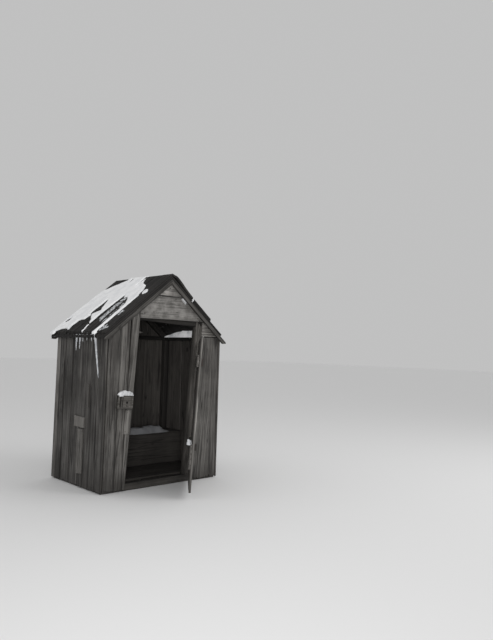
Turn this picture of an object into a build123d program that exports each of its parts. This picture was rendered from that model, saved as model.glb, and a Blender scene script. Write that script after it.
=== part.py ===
from build123d import *
import math
import os

# A small plank outhouse with a gable roof of boards and a door that stands half open.
# X runs from left to right as one faces the door, Y from the front wall to the back wall,
# and Z up. The origin is the middle of the footprint, on the ground.

# Driving dimensions of the shell, in millimetres and degrees
wall_depth = 1070
eave_height = 1608
roof_pitch = 39.7
board_thickness = 22
joint_gap = 3
foot_clearance = 6

# Board edges of the walls, measured from the front face or from the left corner
left_board_ends = (128, 254, 366, 468, 556, 668, 852, 972)
left_board_gaps = (13, 3, 16, 3, 3, 22, 30, 3)
right_board_ends = (128, 288, 418, 566, 700, 842, 950)
right_board_gaps = (3, 9, 3, 4, 12, 3, 5)
back_board_count = 9
corner_gap = 9
front_board_lines = ((152, 172, 5, 3), (244, 280, 4, 16))
front_corner_board = 120

# Driving dimensions of the frame timbers
sill_size = 75
post_size = 70
plate_height = 45
rafter_thickness = 45
rafter_depth = 70
ridge_beam_width = 45
ridge_beam_depth = 90
joist_width = 45

# Driving dimensions of the roof
side_overhang = 52
front_overhang = 50
back_overhang = 56
rake_thickness = 22
rake_drop = 58
rake_end = 16
cover_thickness = 24
broken_cover_share = 0.71
broken_cover_split = 0.37
broken_cover_gap = 14
roof_board_count = 7
left_cover_joints = (182, 316, 486, 655, 825, 1000)
right_cover_joints = (165, 340, 505, 670, 850, 1010)

# Driving dimensions of the doorway, which has leaned to the right with age
lean = 3.6
header_rise = 184
jamb_from_left_corner = 395
right_boards_width = 270
stop_width_left = 15
stop_width_right = 70
header_depth = 70
header_sag = 40
hinge_post_reach = 35
stub_rise = 16
small_gable_drop = 192
splinter_length = 60
splinter_height = 26

# Outlines of the patches, from the front face and the ground
patch_thickness = 14
patch_head = ((355, 737), (344, 620), (572, 620), (581, 750))
patch_tail = ((375, 150), (501, 136), (497, 616), (371, 616))
thin_batten = ((278, 842), (316, 838), (322, 1086), (286, 1080))
jamb_patch_length = 254
jamb_patch_gap = 3
jamb_patch_width = 78
jamb_patch_thickness = 12

# Driving dimensions of the door and its hinges
door_width = 830
door_top_gap = 1
door_foot_height = 25
door_board_count = 5
door_proud = 5
door_clearance = 5.5
free_edge_gap = 7
hinge_edge_gap = 8
open_angle = 52.5
lower_ledge_width = 240
upper_ledge_width = 125
lower_ledge_height = 228
upper_ledge_drop = 308
knuckle_radius = 7
pin_radius = 3
pin_clearance = 0.08
knuckle_length = 26
knuckle_gap = 0.5
hinge_plate = 3
strap_length = 330
strap_width = 34
strap_eye_length = 5
strap_shoulder = 14
strap_tip_length = 50
strap_tip_width = 23
leaf_length = 52
knuckle_weld = 2

# Driving dimensions of the bench
seat_height = 465
seat_depth = 408
seat_nosing = 10
seat_hole_diameter = 250
seat_hole_spacing = 640
seat_split_share = 0.5
cleat_height = 50
cleat_thickness = 25
floor_board_count = 4

# Driving dimensions of the latch keeper on the left jamb
keeper_width = 178
keeper_height = 148
keeper_height_above_ground = 842
keeper_depth = 34
keeper_rail = 17
keeper_back = 12
keeper_hole = 24
keeper_bar = 9
peg_radius = 9
peg_length = 16
keeper_jamb_margin = 14
keeper_panel_start = 62
keeper_bar_set_back = 2
keeper_hole_from_edge = 66
keeper_hole_height = 68
peg_height = 36

# Seating gap between timbers that lie on each other
seat = 0.3

# Sizes worked out from the driving dimensions
slope = math.tan(math.radians(roof_pitch))
lean_slope = math.tan(math.radians(lean))
jamb_line_span = (door_width + free_edge_gap + hinge_edge_gap) / math.cos(math.radians(lean))
wall_width = jamb_from_left_corner + jamb_line_span + hinge_edge_gap + right_boards_width
half_width = wall_width / 2
half_depth = wall_depth / 2
inner_half_width = half_width - board_thickness
inner_half_depth = half_depth - board_thickness
header_height = eave_height + header_rise
stub_height = eave_height + stub_rise
small_gable_height = eave_height + slope * half_width - small_gable_drop
front_face = -half_depth
frame_front = front_face + board_thickness
roof_front = -half_depth - front_overhang
roof_back = half_depth + back_overhang
plate_top = eave_height + slope * board_thickness - seat
plate_bottom = plate_top - plate_height
floor_top = sill_size + board_thickness
axis_front = front_face - door_proud - knuckle_radius
keeper_corner_drop = keeper_width / 2 * math.sin(math.radians(lean))
jamb_patch_high = keeper_height_above_ground - keeper_corner_drop - jamb_patch_gap
jamb_patch_low = jamb_patch_high - jamb_patch_length
shut_door_rise = (door_width + hinge_edge_gap) * math.sin(math.radians(lean))
shut_door_top = stub_height - door_top_gap
door_height = (shut_door_top - shut_door_rise - door_foot_height) / math.cos(math.radians(lean))
upper_ledge_height = door_height - upper_ledge_drop


def roof_underside(x):
    """Height of the underside of the roof boards at a distance x from the middle."""
    return eave_height + slope * (half_width - abs(x))


def jamb_left(z):
    """Place of the doorway's left edge at the height z, along the lean."""
    return -half_width + jamb_from_left_corner - lean_slope * (header_height - z)


def hinge_line(z):
    """Place of the hinge axis at the height z, parallel to the left edge."""
    return jamb_left(z) + jamb_line_span


def jamb_right(z):
    """Place of the right boards' edge, clear of the hinge knuckles."""
    return hinge_line(z) + hinge_edge_gap


def block(x_start, x_end, y_start, y_end, z_start, z_end):
    """A squared timber between two corners."""
    middle = Pos((x_start + x_end) / 2, (y_start + y_end) / 2, (z_start + z_end) / 2)
    return middle * Box(x_end - x_start, y_end - y_start, z_end - z_start)


def front_prism(outline, y_start, thickness):
    """A board whose outline is drawn in X and Z and which is thick towards the back."""
    points = [(x, y_start, z) for x, z in outline]
    return extrude(make_face(Polyline(points, close=True)), amount=thickness, dir=(0, 1, 0))


def side_prism(outline, x_start, thickness):
    """A board whose outline is drawn in Y and Z and which is thick towards the right."""
    points = [(x_start, y, z) for y, z in outline]
    return extrude(make_face(Polyline(points, close=True)), amount=thickness, dir=(1, 0, 0))


def mirrored(shape):
    """The same piece on the other side of the ridge."""
    return mirror(shape, about=Plane.YZ)


def spans(start, end, joints, gap):
    """Pairs of edges of boards laid side by side between start and end."""
    edges = [start] + list(joints) + [end]
    pairs = []
    for index in range(len(edges) - 1):
        low = edges[index] + (gap / 2 if index > 0 else 0)
        high = edges[index + 1] - (gap / 2 if index < len(edges) - 2 else 0)
        pairs.append((low, high))
    return pairs


def even_joints(start, end, count):
    """Joints that share a width between a number of like boards."""
    return [start + (end - start) * index / count for index in range(1, count)]


# Frame


def sills():
    """Four squared timbers on the ground and the joist between them."""
    side_edge = -inner_half_width + sill_size
    side = block(-inner_half_width, side_edge, -inner_half_depth, inner_half_depth, 0, sill_size)
    cross_half = inner_half_width - sill_size - seat
    front = block(-cross_half, cross_half, frame_front, frame_front + sill_size, 0, sill_size)
    joist_half = inner_half_depth - sill_size - seat
    joist = block(-joist_width / 2, joist_width / 2, -joist_half, joist_half, 0, sill_size)
    return {
        "sill_left": side,
        "sill_right": mirrored(side),
        "sill_front": front,
        "sill_back": mirror(front, about=Plane.XZ),
        "floor_joist": joist,
    }


def corner_posts():
    """A post in each corner, from the sill to the plate."""
    names = {}
    for side_name, side_sign in (("left", -1), ("right", 1)):
        for end_name, end_sign in (("front", -1), ("back", 1)):
            x_edges = sorted((side_sign * inner_half_width, side_sign * (inner_half_width - post_size)))
            y_edges = sorted((end_sign * inner_half_depth, end_sign * (inner_half_depth - post_size)))
            post = block(*x_edges, *y_edges, sill_size + seat, plate_bottom - seat)
            names["corner_post_" + end_name + "_" + side_name] = post
    return names


def door_posts():
    """Two leaning posts that carry the boards beside the door and stop the door."""
    foot = sill_size + seat
    drop = rafter_depth / math.cos(math.radians(roof_pitch)) + 2 * seat

    def leaning_post(x_at, width):
        edges = []
        for offset in (0, width):
            top = foot
            for _ in range(6):
                top = roof_underside(x_at(top) + offset) - drop
            edges.append((offset, top))
        left_top, right_top = edges[0][1], edges[1][1]
        outline = [
            (x_at(foot), foot),
            (x_at(foot) + width, foot),
            (x_at(right_top) + width, right_top),
            (x_at(left_top), left_top),
        ]
        return front_prism(outline, frame_front, post_size)

    left = leaning_post(lambda z: jamb_left(z) + stop_width_left - post_size, post_size)
    right_width = stop_width_right + hinge_edge_gap + hinge_post_reach
    right = leaning_post(lambda z: hinge_line(z) - stop_width_right, right_width)
    return {"door_post_left": left, "door_post_right": right}


def plates():
    """Timbers on top of the side and back posts, under the roof boards."""
    left = block(
        -inner_half_width,
        -inner_half_width + post_size,
        -inner_half_depth,
        inner_half_depth,
        plate_bottom,
        plate_top,
    )
    back_half = inner_half_width - post_size - seat
    back_start = inner_half_depth - post_size
    back = block(-back_half, back_half, back_start, inner_half_depth, plate_bottom, plate_top)
    return {"plate_left": left, "plate_right": mirrored(left), "plate_back": back}


def header():
    """The beam over the doorway, which has sunk at its right end."""

    def left_end(z):
        return (jamb_left(z) + stop_width_left + seat, z)

    def right_end(z):
        return (hinge_line(z) - stop_width_right - seat, z)

    left_low = header_height - header_sag / 2
    right_low = left_low - header_sag
    outline = [
        left_end(left_low),
        right_end(right_low),
        right_end(right_low + header_depth),
        left_end(left_low + header_depth),
    ]
    return {"door_header": front_prism(outline, frame_front, plate_height)}


def rafter_frame():
    """The ridge beam and the rafters behind both gables."""
    beam_top = roof_underside(ridge_beam_width / 2) - seat
    beam = block(
        -ridge_beam_width / 2,
        ridge_beam_width / 2,
        -inner_half_depth,
        inner_half_depth,
        beam_top - ridge_beam_depth,
        beam_top,
    )
    drop = rafter_depth / math.cos(math.radians(roof_pitch))
    toe_x = -inner_half_width + seat
    toe_z = plate_top + seat
    heel_x = -half_width + (toe_z + drop - eave_height) / slope
    top_x = -ridge_beam_width / 2 - seat
    outline = [
        (toe_x + 2 * seat / slope, toe_z),
        (heel_x, toe_z),
        (top_x, roof_underside(top_x) - drop),
        (top_x, roof_underside(top_x) - seat),
    ]
    front_left = front_prism(outline, frame_front, rafter_thickness)
    back_left = front_prism(outline, inner_half_depth - rafter_thickness, rafter_thickness)
    return {
        "ridge_beam": beam,
        "rafters_front": Compound(children=[front_left, mirrored(front_left)]),
        "rafters_back": Compound(children=[back_left, mirrored(back_left)]),
    }


# Walls


def side_wall(side_sign, joints, gaps):
    """Upright boards of a side wall, which cover the ends of the front and back boards."""
    x_edges = sorted((side_sign * inner_half_width, side_sign * half_width))
    starts = [front_face] + [front_face + joint + gap for joint, gap in zip(joints, gaps)]
    ends = [front_face + joint for joint in joints] + [half_depth]
    boards = []
    for low, high in zip(starts, ends):
        boards.append(block(*x_edges, low, high, foot_clearance, eave_height - seat))
    return Compound(children=boards)


def gable_top(x_low, x_high):
    """Points along the roof underside from x_high back to x_low, over the ridge if it lies between."""
    points = [(x_high, roof_underside(x_high) - seat)]
    if x_low < 0 < x_high:
        points.append((0, roof_underside(0) - seat))
    points.append((x_low, roof_underside(x_low) - seat))
    return points


def back_wall():
    """Upright boards of the back wall, cut to the roof's slope."""
    edge = inner_half_width - seat
    boards = []
    for low, high in spans(-edge, edge, even_joints(-edge, edge, back_board_count), joint_gap):
        outline = [(low, foot_clearance), (high, foot_clearance)] + gable_top(low, high)
        boards.append(front_prism(outline, inner_half_depth, board_thickness))
    return Compound(children=boards)


def leaning_board(left_line, right_line):
    """A front board between two lines that lean, cut off under the roof boards."""
    left_top = right_top = eave_height
    for _ in range(8):
        left_top = roof_underside(left_line(left_top)) - seat
        right_top = roof_underside(right_line(right_top)) - seat
    outline = [
        (left_line(foot_clearance), foot_clearance),
        (right_line(foot_clearance), foot_clearance),
        (right_line(right_top), right_top),
        (left_line(left_top), left_top),
    ]
    return front_prism(outline, front_face, board_thickness)


def front_boards():
    """Boards beside the doorway, fanned to the leaning jambs."""

    def joint_line(foot, top):
        return lambda z: -half_width + foot + (top - foot) * z / eave_height

    left_edge = -inner_half_width + corner_gap
    left_lines = [lambda z: left_edge]
    right_lines = []
    for foot, top, foot_gap, top_gap in front_board_lines:
        right_lines.append(joint_line(foot, top))
        left_lines.append(joint_line(foot + foot_gap, top + top_gap))
    right_lines.append(jamb_left)
    left = [leaning_board(low, high) for low, high in zip(left_lines, right_lines)]
    top = stub_height - joint_gap
    middle = half_width - front_corner_board
    inner_outline = [
        (jamb_right(foot_clearance), foot_clearance),
        (middle, foot_clearance),
        (middle, top),
        (jamb_right(top), top),
    ]
    inner = front_prism(inner_outline, front_face, board_thickness)
    outer_edge = inner_half_width - corner_gap
    outer_top = min(top, roof_underside(outer_edge) - seat)
    outer = block(middle + joint_gap, outer_edge, front_face, frame_front, foot_clearance, outer_top)
    return {
        "front_boards_left": Compound(children=left),
        "front_boards_right": Compound(children=[inner, outer]),
    }


def gable_boards():
    """Level boards of the front gable. One is missing over the door, but for its two torn ends."""

    def roof_edge(z):
        return half_width - (z + seat - eave_height) / slope

    low = small_gable_height + joint_gap
    top_outline = [(-roof_edge(low), low), (roof_edge(low), low), (0, roof_underside(0) - seat)]
    main_top = small_gable_height
    shoulder = header_height
    for _ in range(6):
        shoulder = min(main_top, roof_underside(jamb_left(shoulder) + joint_gap) - seat)
    main_outline = [
        (jamb_left(header_height) + joint_gap, header_height),
        (roof_edge(header_height), header_height),
        (roof_edge(main_top), main_top),
        (-roof_edge(main_top), main_top),
        (jamb_left(shoulder) + joint_gap, shoulder),
    ]
    stub_top = header_height - joint_gap
    stub_right = min(roof_edge(stub_height), inner_half_width - seat)
    stub_outline = [
        (jamb_right(stub_height), stub_height),
        (stub_right, stub_height),
        (roof_edge(stub_top), stub_top),
        (jamb_right(stub_top), stub_top),
    ]
    splinter_bottom = shut_door_top + door_clearance
    splinter_top = splinter_bottom + splinter_height
    splinter_outline = [
        (jamb_left(splinter_bottom) + joint_gap, splinter_bottom),
        (jamb_left(splinter_bottom) + splinter_length, splinter_bottom + splinter_height / 4),
        (jamb_left(splinter_top) + joint_gap, splinter_top),
    ]
    return {
        "gable_board_top": front_prism(top_outline, front_face, board_thickness),
        "gable_board_main": front_prism(main_outline, front_face, board_thickness),
        "gable_board_stub": front_prism(stub_outline, front_face, board_thickness),
        "gable_board_splinter": front_prism(splinter_outline, front_face, board_thickness),
    }


# Patches nailed over the left wall and the left jamb


def patches():
    """Mending boards on the left wall and a narrow one beside the door under the keeper."""
    pieces = []
    for outline in (patch_head, patch_tail, thin_batten):
        from_front = [(front_face + y, z) for y, z in outline]
        pieces.append(side_prism(from_front, -half_width - seat - patch_thickness, patch_thickness))
    outline = [
        (jamb_left(jamb_patch_low) - jamb_patch_width, jamb_patch_low),
        (jamb_left(jamb_patch_low), jamb_patch_low),
        (jamb_left(jamb_patch_high), jamb_patch_high),
        (jamb_left(jamb_patch_high) - jamb_patch_width, jamb_patch_high),
    ]
    strip = front_prism(outline, front_face - seat - jamb_patch_thickness, jamb_patch_thickness)
    return {"left_wall_patches": Compound(children=pieces), "jamb_patch": strip}


# Roof


def roof_layer(base, thickness, share=1.0, start_share=0.0):
    """Cross-section of a layer of boards on the left slope, at a height base above its underside."""
    rise = 1 / math.cos(math.radians(roof_pitch))
    eave_x = -half_width - side_overhang
    low_x = eave_x * share
    high_x = eave_x * start_share if start_share else -seat

    def at(x, height):
        return (x, eave_height + slope * (half_width - abs(x)) + height * rise)

    return [at(low_x, base), at(high_x, base), at(high_x, base + thickness), at(low_x, base + thickness)]


def roof():
    """Two layers of boards that run down each slope, one of them broken at the front right."""
    lower_joints = even_joints(roof_front, roof_back, roof_board_count)
    lower = []
    for low, high in spans(roof_front, roof_back, lower_joints, joint_gap):
        lower.append(front_prism(roof_layer(0, board_thickness), low, high - low))
    lower_left = Compound(children=lower)
    base = board_thickness + seat
    covers_left = []
    for low, high in spans(roof_front, roof_back, [roof_front + j for j in left_cover_joints], joint_gap):
        covers_left.append(front_prism(roof_layer(base, cover_thickness), low, high - low))
    gap_share = broken_cover_gap / (half_width + side_overhang)
    broken_runs = ((0, broken_cover_split), (broken_cover_split + gap_share, broken_cover_share))
    covers_right = []
    for low, high in spans(roof_front, roof_back, [roof_front + j for j in right_cover_joints], joint_gap):
        runs = broken_runs if low == roof_front else ((0, 1),)
        for start_share, share in runs:
            outline = roof_layer(base, cover_thickness, share, start_share)
            covers_right.append(mirrored(front_prism(outline, low, high - low)))
    return {
        "roof_boards_left": lower_left,
        "roof_boards_right": mirrored(lower_left),
        "roof_covers_left": Compound(children=covers_left),
        "roof_covers_right": Compound(children=covers_right),
    }


def rakes():
    """Verge boards under the ends of the roof boards, front and back, cut level at the eaves."""
    eave_x = -half_width - side_overhang
    level_x = eave_x + (rake_drop - rake_end) / slope

    def under(x, drop):
        return (x, roof_underside(x) - seat - drop)

    outline = [
        under(eave_x, rake_end),
        under(level_x, rake_drop),
        under(-seat, rake_drop),
        under(-seat, 0),
        under(eave_x, 0),
    ]
    front_left = front_prism(outline, roof_front, rake_thickness)
    back_left = front_prism(outline, roof_back - rake_thickness, rake_thickness)
    return {
        "rakes_front": Compound(children=[front_left, mirrored(front_left)]),
        "rakes_back": Compound(children=[back_left, mirrored(back_left)]),
    }


# Floor and bench


def inside():
    """The floor in front of the bench and the bench with its two holes."""
    riser_front = inner_half_depth - seat_depth + seat_nosing
    floor_front = frame_front + post_size + joint_gap
    floor_back = riser_front + board_thickness
    floor = []
    side = inner_half_width - seat
    floor_joints = even_joints(floor_front, floor_back, floor_board_count)
    for low, high in spans(floor_front, floor_back, floor_joints, joint_gap):
        floor.append(block(-side, side, low, high, sill_size + seat, floor_top))
    seat_bottom = seat_height - board_thickness
    riser = block(-side, side, riser_front, floor_back, floor_top + seat, seat_bottom - seat)
    seat_front = inner_half_depth - seat_depth
    seat_back = inner_half_depth - seat
    split = seat_front + (seat_back - seat_front) * seat_split_share
    holes = []
    for side_sign in (-1, 1):
        hole_place = Pos(side_sign * seat_hole_spacing / 2, split, seat_bottom)
        holes.append(hole_place * Cylinder(seat_hole_diameter / 2, 3 * board_thickness))
    post_edge = inner_half_width - post_size - joint_gap
    post_front = inner_half_depth - post_size - joint_gap
    notches = []
    for side_sign in (-1, 1):
        x_edges = sorted((side_sign * post_edge, side_sign * half_width))
        notches.append(block(*x_edges, post_front, half_depth, 0, eave_height))
    boards = []
    for low, high in spans(seat_front, seat_back, [split], joint_gap):
        board = block(-side, side, low, high, seat_bottom, seat_height)
        for cut in holes + notches:
            board = board - cut
        boards.append(board)
    cleat_bottom = seat_bottom - seat - cleat_height
    side_cleat = block(
        -side,
        -side + cleat_thickness,
        floor_back + seat,
        post_front,
        cleat_bottom,
        seat_bottom - seat,
    )
    back_cleat = block(
        -post_edge,
        post_edge,
        seat_back - cleat_thickness,
        seat_back,
        cleat_bottom,
        seat_bottom - seat,
    )
    return {
        "floor_boards": Compound(children=floor),
        "seat_riser": riser,
        "seat_boards": Compound(children=boards),
        "seat_cleats": Compound(children=[side_cleat, mirrored(side_cleat), back_cleat]),
    }


# Latch keeper


def keeper():
    """A small wooden box on the left jamb, leaning with it, with a bolt slot, a finger hole and a peg."""
    half = keeper_width / 2
    top = keeper_height
    back = front_face - seat
    front = back - keeper_depth
    body = block(-half, half, back - keeper_back, back, 0, top)
    rails = (
        (-half, -half + keeper_rail, 0, top),
        (half - keeper_rail, half, 0, top),
        (-half, half, 0, keeper_rail),
        (-half, half, top - keeper_rail, top),
    )
    for rail_left, rail_right, rail_low, rail_high in rails:
        body = body + block(rail_left, rail_right, front, back, rail_low, rail_high)
    panel_left = -half + keeper_panel_start
    panel_front = front + keeper_rail / 2
    panel = block(panel_left, half - keeper_rail, panel_front, back, 0, top)
    slot_middle = (-half + keeper_rail + panel_left) / 2
    bar_front = front + keeper_bar_set_back
    bar = block(slot_middle, slot_middle + keeper_bar, bar_front, bar_front + keeper_bar, 0, top)
    hole_x = half - keeper_hole_from_edge
    hole_place = Pos(hole_x, back - keeper_depth / 2, keeper_hole_height)
    hole = hole_place * Box(keeper_hole, 2 * keeper_depth, keeper_hole)
    peg_turn = Pos(hole_x, panel_front - peg_length / 2, peg_height) * Rot(90, 0, 0)
    peg = peg_turn * Cylinder(peg_radius, peg_length)
    middle = jamb_left(keeper_height_above_ground) - keeper_jamb_margin - half
    place = Pos(middle, 0, keeper_height_above_ground) * Rot(0, lean, 0)
    return {"latch_keeper": place * (body + panel + bar - hole + peg)}


# Door


def tilted(shape, turn=0.0):
    """Stands a piece, drawn about an upright hinge axis, on the leaning axis and swings it open."""
    foot = Pos(hinge_line(door_foot_height), axis_front, door_foot_height)
    return foot * Rot(0, lean, 0) * Rot(0, 0, turn) * shape


def door_boards():
    """Upright boards of the leaf, drawn shut in front of the stops."""
    outer = knuckle_radius
    right = -hinge_edge_gap
    left = right - door_width
    boards = []
    for low, high in spans(left, right, even_joints(left, right, door_board_count), joint_gap):
        boards.append(block(low, high, outer, outer + board_thickness, 0, door_height))
    return boards


def door_ledges():
    """Two level boards that hold the leaf together on its inner face, clear of both stops."""
    inner = knuckle_radius + board_thickness + seat
    right = -stop_width_right - 2 * door_clearance
    left = -hinge_edge_gap - door_width - free_edge_gap + stop_width_left + 2 * door_clearance
    ledges = {}
    for name, low, width in (
        ("lower", lower_ledge_height, lower_ledge_width),
        ("upper", upper_ledge_height, upper_ledge_width),
    ):
        ledge = block(left, right, inner, inner + board_thickness, low, low + width)
        ledges["door_ledge_" + name] = ledge
    return ledges


def hinge_heights():
    """Middle of each hinge above the foot of the door, on the middle of its ledge."""
    return (lower_ledge_height + lower_ledge_width / 2, upper_ledge_height + upper_ledge_width / 2)


def hinge_leaf(middle):
    """The fixed half of a hinge: a plate on the front boards, two knuckles and the pin."""
    plate_back = knuckle_radius + door_proud - seat
    plate_front = plate_back - hinge_plate
    reach = knuckle_length * 3 / 2 + knuckle_gap
    plate_left = hinge_edge_gap + seat
    plate_right = plate_left + leaf_length
    body = block(plate_left, plate_right, plate_front, plate_back, middle - reach, middle + reach)
    for side_sign in (-1, 1):
        level = middle + side_sign * (knuckle_length + knuckle_gap)
        body = body + Pos(0, 0, level) * Cylinder(knuckle_radius, knuckle_length)
        low = level - knuckle_length / 2
        web_right = plate_left + knuckle_weld
        body = body + block(0, web_right, plate_front, plate_back, low, low + knuckle_length)
        body = body + block(0, hinge_plate, 0, plate_back, low, low + knuckle_length)
    pin = Pos(0, 0, middle) * Cylinder(pin_radius, 3 * knuckle_length)
    return body + pin


def hinge_strap(middle):
    """The moving half of a hinge: a long tapered strap on the leaf and the middle knuckle."""
    strap_back = knuckle_radius - seat
    strap_front = strap_back - hinge_plate
    start = -strap_eye_length
    end = start - strap_length
    upper_edge = [
        (start, knuckle_length / 2),
        (start - strap_shoulder, strap_width / 2),
        (end + strap_tip_length, strap_tip_width / 2),
    ]
    outline = [(x, middle + rise) for x, rise in upper_edge]
    outline.append((end, middle))
    outline.extend((x, middle - rise) for x, rise in reversed(upper_edge))
    strap = front_prism(outline, strap_front, hinge_plate)
    knuckle = Pos(0, 0, middle) * Cylinder(knuckle_radius, knuckle_length)
    bore = Pos(0, 0, middle) * Cylinder(pin_radius + pin_clearance, 2 * knuckle_length)
    return (strap + knuckle) - bore


def door():
    """The leaf and its hinges in the half-open pose."""
    shapes = {"door_boards": tilted(Compound(children=door_boards()), open_angle)}
    for name, ledge in door_ledges().items():
        shapes[name] = tilted(ledge, open_angle)
    straps = [hinge_strap(middle) for middle in hinge_heights()]
    leaves = [hinge_leaf(middle) for middle in hinge_heights()]
    shapes["hinge_straps"] = tilted(Compound(children=straps), open_angle)
    shapes["hinge_leaves"] = tilted(Compound(children=leaves))
    return shapes


def model():
    """Every named piece of the outhouse."""
    pieces = {}
    for group in (
        sills(),
        corner_posts(),
        door_posts(),
        plates(),
        header(),
        rafter_frame(),
        front_boards(),
        gable_boards(),
        patches(),
        roof(),
        rakes(),
        inside(),
        keeper(),
        door(),
    ):
        pieces.update(group)
    pieces["left_wall_boards"] = side_wall(-1, left_board_ends, left_board_gaps)
    pieces["right_wall_boards"] = side_wall(1, right_board_ends, right_board_gaps)
    pieces["back_wall_boards"] = back_wall()
    return pieces


os.makedirs("parts", exist_ok=True)
for name, shape in model().items():
    export_step(shape, "parts/" + name + ".step")
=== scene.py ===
"""Looks of a small plank outhouse in winter: weathered boards, thin snow, icicles and rusted iron.

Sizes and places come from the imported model, or are given here in metres. The classes follow the
building: its wood, the snow on its roof, its nails and iron, and then the studio and the camera.
"""

from __future__ import annotations

import logging
import math
import random
from collections.abc import Sequence
from dataclasses import dataclass, field
from enum import Enum

import bmesh
import bpy
import numpy as np
from mathutils import Matrix, Vector
from mathutils.bvhtree import BVHTree

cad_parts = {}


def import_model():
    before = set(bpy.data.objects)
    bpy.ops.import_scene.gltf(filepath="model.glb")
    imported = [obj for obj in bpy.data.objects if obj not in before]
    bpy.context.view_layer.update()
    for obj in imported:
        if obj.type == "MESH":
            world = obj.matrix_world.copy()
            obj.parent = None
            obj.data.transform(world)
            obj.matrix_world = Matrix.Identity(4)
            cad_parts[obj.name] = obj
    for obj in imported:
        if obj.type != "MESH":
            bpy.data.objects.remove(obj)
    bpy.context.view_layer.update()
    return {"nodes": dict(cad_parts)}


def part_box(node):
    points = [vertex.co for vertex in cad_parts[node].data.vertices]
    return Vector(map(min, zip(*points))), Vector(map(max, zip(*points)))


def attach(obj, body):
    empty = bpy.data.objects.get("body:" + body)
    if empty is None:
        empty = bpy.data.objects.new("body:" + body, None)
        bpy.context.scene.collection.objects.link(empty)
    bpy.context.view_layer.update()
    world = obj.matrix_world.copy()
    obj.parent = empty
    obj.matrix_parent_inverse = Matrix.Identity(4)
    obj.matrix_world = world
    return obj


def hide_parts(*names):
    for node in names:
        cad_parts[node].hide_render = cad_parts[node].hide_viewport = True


log = logging.getLogger("outhouse")

HUT = "hut"
DOOR = "door"
MIDDLE_OF_ROOM = Vector((0.0, 0.0, 1.1))
FORWARD = Vector((0.0, -1.0, 0.0))
SEEDS = 2**31
TOUCHING = 1e-6

Point2 = tuple[float, float]
Point3 = tuple[float, float, float]
Colour = tuple[float, float, float]
Inputs = dict[str | int, object]
Sockets = dict[str, bpy.types.NodeSocket]


# Small numeric helpers


class SmoothNoise:
    """Repeatable smooth noise over a plane, made from one seed."""

    CELLS = 64

    def __init__(self, seed: int) -> None:
        """Fills the lattice with the values of one seed."""
        self._lattice = np.random.default_rng(seed).uniform(-1.0, 1.0, (self.CELLS, self.CELLS))

    def plane(self, x: np.ndarray, y: np.ndarray | float) -> np.ndarray:
        """Noise at points of the plane.

        Args:
            x: First coordinates, in lattice cells.
            y: Second coordinates, in lattice cells, or one for all.

        Returns:
            Values from -1 to 1.
        """
        x = np.asarray(x, float)
        y = np.broadcast_to(np.asarray(y, float), x.shape)
        column, row = np.floor(x).astype(int), np.floor(y).astype(int)
        across, down = x - column, y - row
        across, down = across * across * (3 - 2 * across), down * down * (3 - 2 * down)
        left, right = column % self.CELLS, (column + 1) % self.CELLS
        low, high = row % self.CELLS, (row + 1) % self.CELLS
        near = self._lattice[low, left] * (1 - across) + self._lattice[low, right] * across
        far = self._lattice[high, left] * (1 - across) + self._lattice[high, right] * across
        return near * (1 - down) + far * down


def ramp(value: np.ndarray | float, start: float, end: float) -> np.ndarray:
    """A smooth step from 0 at start to 1 at end.

    Args:
        value: Where the step is read.
        start: Place of the value 0.
        end: Place of the value 1.

    Returns:
        The step's height at each value.
    """
    share = np.clip((np.asarray(value, float) - start) / (end - start), 0.0, 1.0)
    return share * share * (3 - 2 * share)


def inside_distance(outline: Sequence[Point2], x: np.ndarray, y: np.ndarray) -> np.ndarray:
    """Signed distance to a closed outline, positive inside.

    Args:
        outline: Corners of the outline in order.
        x: First coordinates of the points.
        y: Second coordinates of the points.

    Returns:
        The distance of each point.
    """
    nearest = np.full(x.shape, 1e9)
    inside = np.zeros(x.shape, bool)
    for (ax, ay), (bx, by) in zip(outline, tuple(outline[1:]) + (outline[0],)):
        length_squared = (bx - ax) ** 2 + (by - ay) ** 2
        share = np.clip(((x - ax) * (bx - ax) + (y - ay) * (by - ay)) / length_squared, 0.0, 1.0)
        nearest = np.minimum(nearest, np.hypot(x - ax - share * (bx - ax), y - ay - share * (by - ay)))
        rise = by - ay if by != ay else 1e-9
        inside ^= ((ay > y) != (by > y)) & (x < (bx - ax) * (y - ay) / rise + ax)
    return np.where(inside, nearest, -nearest)


def seed_of(text: str) -> int:
    """A repeatable seed from a name.

    Args:
        text: Any name.

    Returns:
        A whole number that is always the same for that name.
    """
    return random.Random(text).randrange(1, SEEDS)


# Node trees


class SharedEffect(Enum):
    """Shader effects that several finishes use."""

    GRAIN = "Board grain"
    WEATHER = "Weather"
    SPECKLE = "Frost speckle"


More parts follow.
